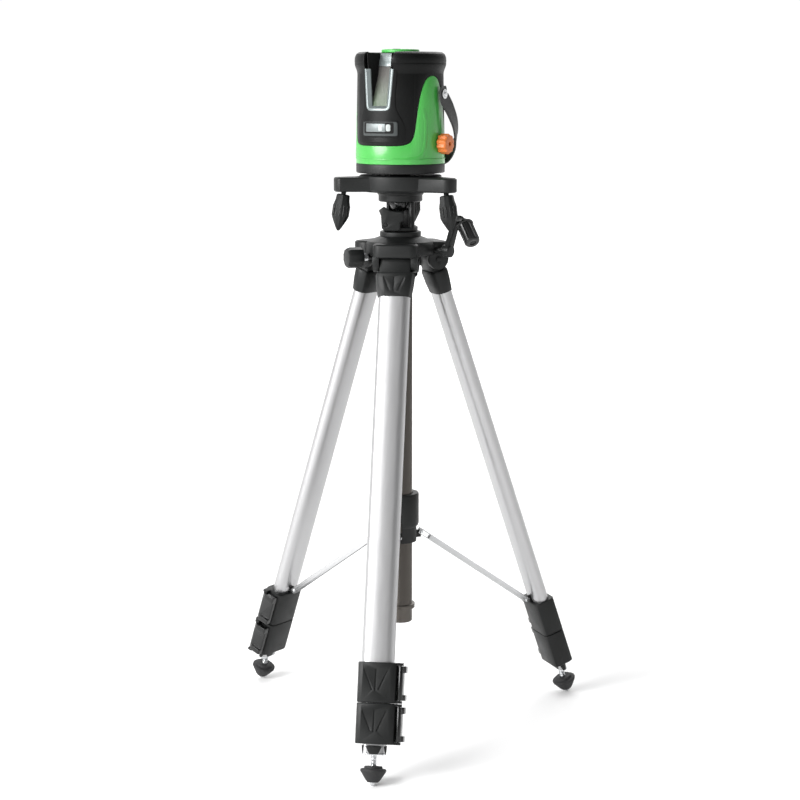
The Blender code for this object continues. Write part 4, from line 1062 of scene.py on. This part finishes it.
class LASER_OT_carry(bpy.types.Operator):
    """Build the carrying strap with its rivets, and the orange fine-turn knob"""

    bl_idname = "laser.carry"
    bl_label = "Strap and fine knob"

    def execute(self, context):
        place = laser_place()
        self.strap(place)
        out = reach("carry_bail", place, STRAP_PIVOT, 0.009)
        size = context.scene.laser_sizes.strap_rivet / MM
        for name, lift, radius, height, dome in (("skirts", 0.0002, size, 0.9, 0.2),
                                                 ("heads", 0.0008, size * 0.62, 0.6, 0.9)):
            points = [((sign * (out + lift), *STRAP_PIVOT), (sign, 0, 0)) for sign in (1, -1)]
            fasteners(f"strap_rivet_{name}", "carry_bail", "steel", place, points, 32, radius, height,
                      dome)
        refined("fine_knob", "orange", place, 0.5, 40.0)
        return {"FINISHED"}

    def strap(self, place):
        """One smooth strap from rivet to rivet, round behind the case."""
        stations = [(54.1, 6.0, 769.4, 5.2), (54.1, 6.0, 766.5, 7.6), (54.1, 6.0, 762.0, 9.0),
                    (54.4, 7.0, 757.0, 10.2), (55.5, 11.2, 750.5, 10.9), (57.0, 18.6, 740.5, 11.2),
                    (57.2, 29.5, 724.0, 11.2), (51.5, 40.5, 705.0, 11.2), (37.0, 50.0, 691.5, 11.2),
                    (19.0, 56.8, 685.6, 11.2), (0.0, 59.0, 684.0, 11.2)]
        stations += [(-x, y, z, half) for x, y, z, half in reversed(stations[:-1])]
        last = len(stations) - 1
        smooth = []
        for i in range(last):
            rows = [Vector(stations[min(max(i + k, 0), last)]) for k in (-1, 0, 1, 2)]
            for t in (0.0, 0.2, 0.4, 0.6, 0.8):
                smooth.append(0.5 * (2 * rows[1] + (rows[2] - rows[0]) * t
                                     + (2 * rows[0] - 5 * rows[1] + 4 * rows[2] - rows[3]) * t ** 2
                                     + (3 * rows[1] - rows[0] - 3 * rows[2] + rows[3]) * t ** 3))
        smooth.append(Vector(stations[-1]))
        section = ((1, 0), (0.97, 0.7), (0.88, 1), (0.78, 0.78), (-0.78, 0.78), (-0.88, 1),
                   (-0.97, 0.7), (-1, 0), (-0.97, -0.7), (-0.88, -1), (0.88, -1), (0.97, -0.7))
        half_thick = 1.2
        rings = []
        for i, row in enumerate(smooth):
            point = Vector(row[:3])
            before, after = smooth[max(i - 1, 0)], smooth[min(i + 1, len(smooth) - 1)]
            ahead = Vector(after[:3]) - Vector(before[:3])
            outward = Vector((point.x, point.y * 0.6, 0)).normalized()
            across = ahead.cross(outward).normalized()
            proud = across.cross(ahead).normalized()
            half_wide = row[3]
            rings.append([(point + across * half_wide * a + proud * half_thick * b) * MM
                          for a, b in section])
        strap = placed("carry_strap", tube_through(rings), "carry_bail", "strap", place, 50.0)
        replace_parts(strap, "carry_bail")


# ---- the head ----
class HEAD_OT_base(bpy.types.Operator):
    """Build the laser's three-armed base and its levelling feet"""

    bl_idname = "head.base"
    bl_label = "Base and levelling feet"

    def execute(self, context):
        sizes = context.scene.tripod_sizes
        refined("laser_base", "black", laser_place(), sizes.corner * 1.4)
        for side in ("rear", "left", "right"):
            node = f"{side}_level_screw"
            row = next(row for row in frame["joints"] if row["child"] == node)
            place = axis_place(row["name"])
            refined(node, "black", place, 0.25, 30.0)
            radius, centre, tall = barrel(node, place, 0.90)
            ribs(f"{node}_ribs", node, "gloss_black", centre, sizes.screw_ribs, radius - 0.40,
                 tall * 0.86, 0.62)
        return {"FINISHED"}


class HEAD_OT_yoke(bpy.types.Operator):
    """Build the platform, the yoke, its lever and the mounting screw"""

    bl_idname = "head.yoke"
    bl_label = "Yoke and mounting screw"

    def execute(self, context):
        sizes = context.scene.tripod_sizes
        place = upright()
        refined("platform", "black", place, sizes.corner)
        refined("head_yoke", "black", place, sizes.corner)
        refined("pan_lever", "black", place, 0.4)
        self.web(place)
        refined("mount_screw", "gloss_black", place, 0.25)
        radius, centre, tall = barrel("mount_screw", place, 0.96)
        ribs("mount_screw_ribs", "mount_screw", "gloss_black", centre, 30, radius - 0.35,
             max(tall * 0.9, 3.0), 0.6)
        return {"FINISHED"}

    def web(self, place):
        """The curved wall that joins the yoke's two pillars behind the mounting screw."""
        profile = ((0.0138, 0.6035), (0.0158, 0.6035), (0.0158, 0.6315), (0.0138, 0.6315))
        first, sweep_angle, steps = 8, 164, 24
        angles = [math.radians(first + sweep_angle * i / steps) for i in range(steps + 1)]
        placed("yoke_web", tube_through(around(profile, angles)), "head", "black", place, edge=0.0004)


# ---- the tripod ----
class TRIPOD_OT_crown(bpy.types.Operator):
    """Build the crown, its hinge bolts, bubble vial, column and lock knob"""

    bl_idname = "tripod.crown"
    bl_label = "Crown and column"

    def execute(self, context):
        sizes = context.scene.tripod_sizes
        refined("crown", "black", upright(), sizes.corner)
        refined("elevator_column", "grey_tube", upright(), 0.15)
        knob = axis_place("lock_knob_turn")
        refined("lock_knob", "black", knob, 0.5)
        stud = collar([(0.0028, 0.0120), (0.0039, 0.0120), (0.0042, 0.0124), (0.0042, 0.0196),
                       (0.0028, 0.0196)], 40)
        placed("lock_knob_stud", stud, "lock_knob", "steel", knob)
        for leg in LEGS:
            place = leg_place(leg)
            points = [((0, sign * HINGE_HALF, HINGE_UP), (0, sign, 0)) for sign in (1, -1)]
            fasteners(f"{leg}_hinge_bolts", "tripod", "black", place, points, 6, 3.4, 1.8, 0.5)
        self.vial()
        return {"FINISHED"}

    def vial(self):
        """A round bubble vial in a boss on the shoulder behind the left leg."""
        angle, out = math.radians(118), 0.033
        x, y = AXIS_X + out * math.cos(angle), AXIS_Y + out * math.sin(angle)
        place = Matrix.Translation((x, y, top_of("crown", x, y)))
        boss = collar([(0.0048, 0.0), (0.0048, 0.0026), (0.0052, 0.0030), (0.0070, 0.0030),
                       (0.0076, 0.0024), (0.0078, -0.0050), (0.0048, -0.0050)])
        placed("vial_boss", boss, "tripod", "black", place)
        lens = turned([(0.0, -0.0030), (0.0047, -0.0030), (0.0047, 0.0020), (0.0040, 0.0027),
                       (0.0022, 0.0031), (0.0, 0.0032)], 40)
        placed("vial_lens", lens, "tripod", "vial", place, 60.0)
        ring = collar([(0.00150, 0.0030), (0.00185, 0.0030), (0.00185, 0.00335), (0.00150, 0.00335)], 32)
        placed("vial_mark", ring, "tripod", "inside_black", place)


class TRIPOD_OT_crank(bpy.types.Operator):
    """Build the elevator's crank with its grip"""

    bl_idname = "tripod.crank"
    bl_label = "Elevator crank"

    def execute(self, context):
        place = axis_place("crank_turn")
        refined("crank_pinion", "black", place, 0.12)
        refined("crank_arm", "black", place, 0.45)
        grip = axis_place("grip_spin")
        refined("grip_spindle", "black", grip, 0.3)
        refined("crank_grip", "gloss_black", grip, 0.35)
        middle_of_grip = grip @ Matrix.Translation((0, 0, 0.0215))
        ribs("crank_grip_lobes", "grip", "gloss_black", middle_of_grip, 8, 7.55, 23.6, 1.95)
        flange = collar([(0.0084, 0.0070), (0.0098, 0.0070), (0.0103, 0.0075), (0.0103, 0.0088),
                         (0.0098, 0.0093), (0.0084, 0.0097)])
        placed("crank_grip_flange", flange, "grip", "gloss_black", grip)
        return {"FINISHED"}


class TRIPOD_OT_legs(bpy.types.Operator):
    """Build the three telescoping legs with their clamps and levers"""

    bl_idname = "tripod.legs"
    bl_label = "Legs and clamps"

    def execute(self, context):
        corner = context.scene.tripod_sizes.corner
        for leg in LEGS:
            place = leg_place(leg)
            for part, finish in (("upper", "tube"), ("middle", "inner_tube"), ("lower", "inner_tube")):
                refined(f"{leg}_{part}_tube", finish, place, 0, 40.0, 0.05)
            for node in ("leg_top", "upper_clamp", "lower_clamp"):
                refined(f"{leg}_{node}", "black", place, corner)
            for node in ("upper_lever", "lower_lever"):
                refined(f"{leg}_{node}", "gloss_black", place, 0.4)
        return {"FINISHED"}


class TRIPOD_OT_feet(bpy.types.Operator):
    """Build the threaded foot rods, the plugs that hold them and the rubber feet"""

    bl_idname = "tripod.feet"
    bl_label = "Feet"

    def execute(self, context):
        pitch = context.scene.tripod_sizes.thread_pitch
        for leg in LEGS:
            place = leg_place(leg)
            refined(f"{leg}_foot_spike", "steel", place, 0.12)
            refined(f"{leg}_rubber_foot", "rubber", place, 0.6, 40.0)
            start = place @ Matrix.Translation((0, 0, 0.0225))
            thread(f"{leg}_foot_thread", f"{leg}_lower", start, 3.0, 12.0, pitch, 0.32)
            self.tube_plug(leg, place)
        return {"FINISHED"}

    def tube_plug(self, leg, place):
        """The black plug that closes the lowest tube and holds the rod."""
        rings = []
        for z, grow in ((0.0345, -0.0012), (0.0352, 0.0002), (0.0440, 0.0009), (0.0448, 0.0003)):
            ring = []
            for a in full_turn(40):
                x, y = math.cos(a), math.sin(a)
                ring.append(Vector(((0.0049 + grow) * math.copysign(abs(x) ** 0.8, x),
                                    (0.0135 + grow) * math.copysign(abs(y) ** 0.9, y), z)))
            rings.append(ring)
        placed(f"{leg}_tube_plug", tube_through(rings), f"{leg}_lower", "black", place, 40.0)


class TRIPOD_OT_spreader(bpy.types.Operator):
    """Build the centre tube, the spreader and its three braces"""

    bl_idname = "tripod.spreader"
    bl_label = "Spreader"

    def execute(self, context):
        refined("centre_tube", "grey_tube", upright(), 0.15)
        refined("spreader_hub", "black", upright(), context.scene.tripod_sizes.corner)
        ground = Matrix.Identity(4)
        hub_points = []
        for leg in LEGS:
            swing = joint(f"{leg}_brace_swing")
            turn = Vector(swing["axis"]).normalized()
            centre = Vector(swing["pos_m"])
            refined(f"{leg}_brace", "brace", leg_place(leg), 0.15)
            fasteners(f"{leg}_brace_rivets", f"{leg}_brace", "steel", ground,
                      self.both_sides(centre, turn, 0.0036), 20, 2.3, 0.7, 0.7)
            outward = Vector((centre.x - AXIS_X, centre.y - AXIS_Y, 0)).normalized()
            radius, height = BRACE_PIN
            pin = Vector((AXIS_X, AXIS_Y, height)) + outward * radius
            hub_points += self.both_sides(pin, turn, 0.0044)
        fasteners("spreader_rivets", "spreader", "steel", ground, hub_points, 20, 1.9, 0.6, 0.6)
        return {"FINISHED"}

    def both_sides(self, centre, turn, half):
        """A rivet's two ends, each with the way that it faces."""
        return [(centre + turn * sign * half, turn * sign) for sign in (1, -1)]


class TRIPOD_OT_stage(bpy.types.Operator):
    """Set the floor, the soft lights and the camera"""

    bl_idname = "tripod.stage"
    bl_label = "Stage"

    def execute(self, context):
        sizes = context.scene.tripod_stage
        self.floor()
        self.light("key_light", (-2.0, -1.75, 1.5), 1.9, sizes.key, (AXIS_X, AXIS_Y, 0.45))
        self.light("floor_light", (0.0, 4.2, 2.9), 6.0, sizes.key * 1.2, (0.0, 4.2, 0.0))
        context.scene.world = self.studio(sizes)
        context.scene.view_settings.view_transform = "Standard"
        camera = bpy.data.cameras.new("camera")
        camera.lens = sizes.lens
        camera.sensor_width = 36
        camera.shift_x = CAMERA_SHIFT
        eye = linked("camera", camera)
        eye.location = (sizes.distance * math.cos(CAMERA_AZIMUTH),
                        sizes.distance * math.sin(CAMERA_AZIMUTH) + AXIS_Y, sizes.height)
        eye.rotation_euler = (math.pi / 2 - CAMERA_PITCH, 0, CAMERA_AZIMUTH + math.pi / 2)
        context.scene.camera = eye
        return {"FINISHED"}

    def studio(self, sizes):
        """A white room that is dimmer on the right and behind the camera, above its horizon."""
        bench = Bench("studio", bpy.data.worlds.new("studio"))
        way = bench.node("ShaderNodeTexCoord", output="Generated")
        side = bench.between(bench.part_of(way, "X"), 0.14, 0.55, 1.0, sizes.right_share)
        front = bench.between(bench.part_of(way, "Y"), -0.45, 0.10, sizes.front_share, 1.0)
        above = bench.between(bench.part_of(way, "Z"), 0.10, 0.24)
        share = 1.0 - above * (1.0 - side * front)
        glow = bench.node("ShaderNodeBackground", None,
                          {"Color": (1, 1, 1, 1), "Strength": share * 1.02})
        bench.end("ShaderNodeOutputWorld", glow)
        return bench.owner

    def floor(self):
        """A white disc that glows more and more with distance, so that it meets the room."""
        radius, sides = 16, 96
        bench = Bench("floor_white")
        dust = bench.cloud(bench.place(), 3.0, 3.0)
        tone = bench.blend(dust, (0.93, 0.93, 0.93, 1), (0.96, 0.96, 0.96, 1))
        far = bench.node("ShaderNodeVectorMath", {"operation": "LENGTH"}, {0: bench.place()}, "Value")
        glow = bench.blend(bench.between(far, 1.2, 4.5), (0, 0, 0, 1), (0.42, 0.42, 0.42, 1))
        material = bench.finish("floor", Base_Color=tone, Roughness=0.9, Emission_Color=glow,
                                Emission_Strength=1.0)
        rim = [(radius * math.cos(a), radius * math.sin(a), 0) for a in full_turn(sides)]
        mesh = mesh_of(rim, [tuple(range(sides))], "floor")
        if mesh.polygons[0].normal.z < 0:
            mesh.flip_normals()
        mesh.materials.append(material)
        floor = linked("floor", mesh)
        floor.location.z = -0.0002

    def light(self, name, place, size, power, target):
        """A round soft light that faces a point."""
        lamp = bpy.data.lights.new(name, "AREA")
        lamp.shape = "DISK"
        lamp.size = size
        lamp.energy = power
        obj = linked(name, lamp)
        obj.location = place
        aim = Vector(target) - Vector(place)
        obj.rotation_euler = aim.to_track_quat("-Z", "Y").to_euler()


class TRIPOD_PT_sidebar(bpy.types.Panel):
    """Lists the sizes, the colours and one button for each group of pieces"""

    bl_idname = "TRIPOD_PT_sidebar"
    bl_label = "Laser level on tripod"
    bl_space_type = "VIEW_3D"
    bl_region_type = "UI"
    bl_category = "Tripod"

    def draw(self, context):
        scene = context.scene
        for group in (scene.tripod_colours, scene.laser_sizes, scene.tripod_sizes, scene.tripod_stage):
            box = self.layout.box()
            for name in group.__annotations__:
                box.prop(group, name)
        for operator in STEPS:
            self.layout.operator(operator.bl_idname)


STEPS = (TRIPOD_OT_stage, LASER_OT_shells, LASER_OT_window, LASER_OT_display, LASER_OT_carry,
         HEAD_OT_base, HEAD_OT_yoke, TRIPOD_OT_crown, TRIPOD_OT_crank, TRIPOD_OT_legs,
         TRIPOD_OT_feet, TRIPOD_OT_spreader)
GROUPS = (("tripod_colours", TripodColours), ("laser_sizes", LaserSizes), ("tripod_sizes", TripodSizes),
          ("tripod_stage", StageSizes))


def register():
    for _, group in GROUPS:
        bpy.utils.register_class(group)
    for operator in STEPS:
        bpy.utils.register_class(operator)
    bpy.utils.register_class(TRIPOD_PT_sidebar)
    for name, group in GROUPS:
        setattr(bpy.types.Scene, name, PointerProperty(type=group))


def unregister():
    for name, _ in GROUPS:
        delattr(bpy.types.Scene, name)
    bpy.utils.unregister_class(TRIPOD_PT_sidebar)
    for operator in reversed(STEPS):
        bpy.utils.unregister_class(operator)
    for _, group in reversed(GROUPS):
        bpy.utils.unregister_class(group)


def main():
    register()
    for operator in STEPS:
        family, name = operator.bl_idname.split(".")
        getattr(getattr(bpy.ops, family), name)()


if __name__ == "__main__":
    main()
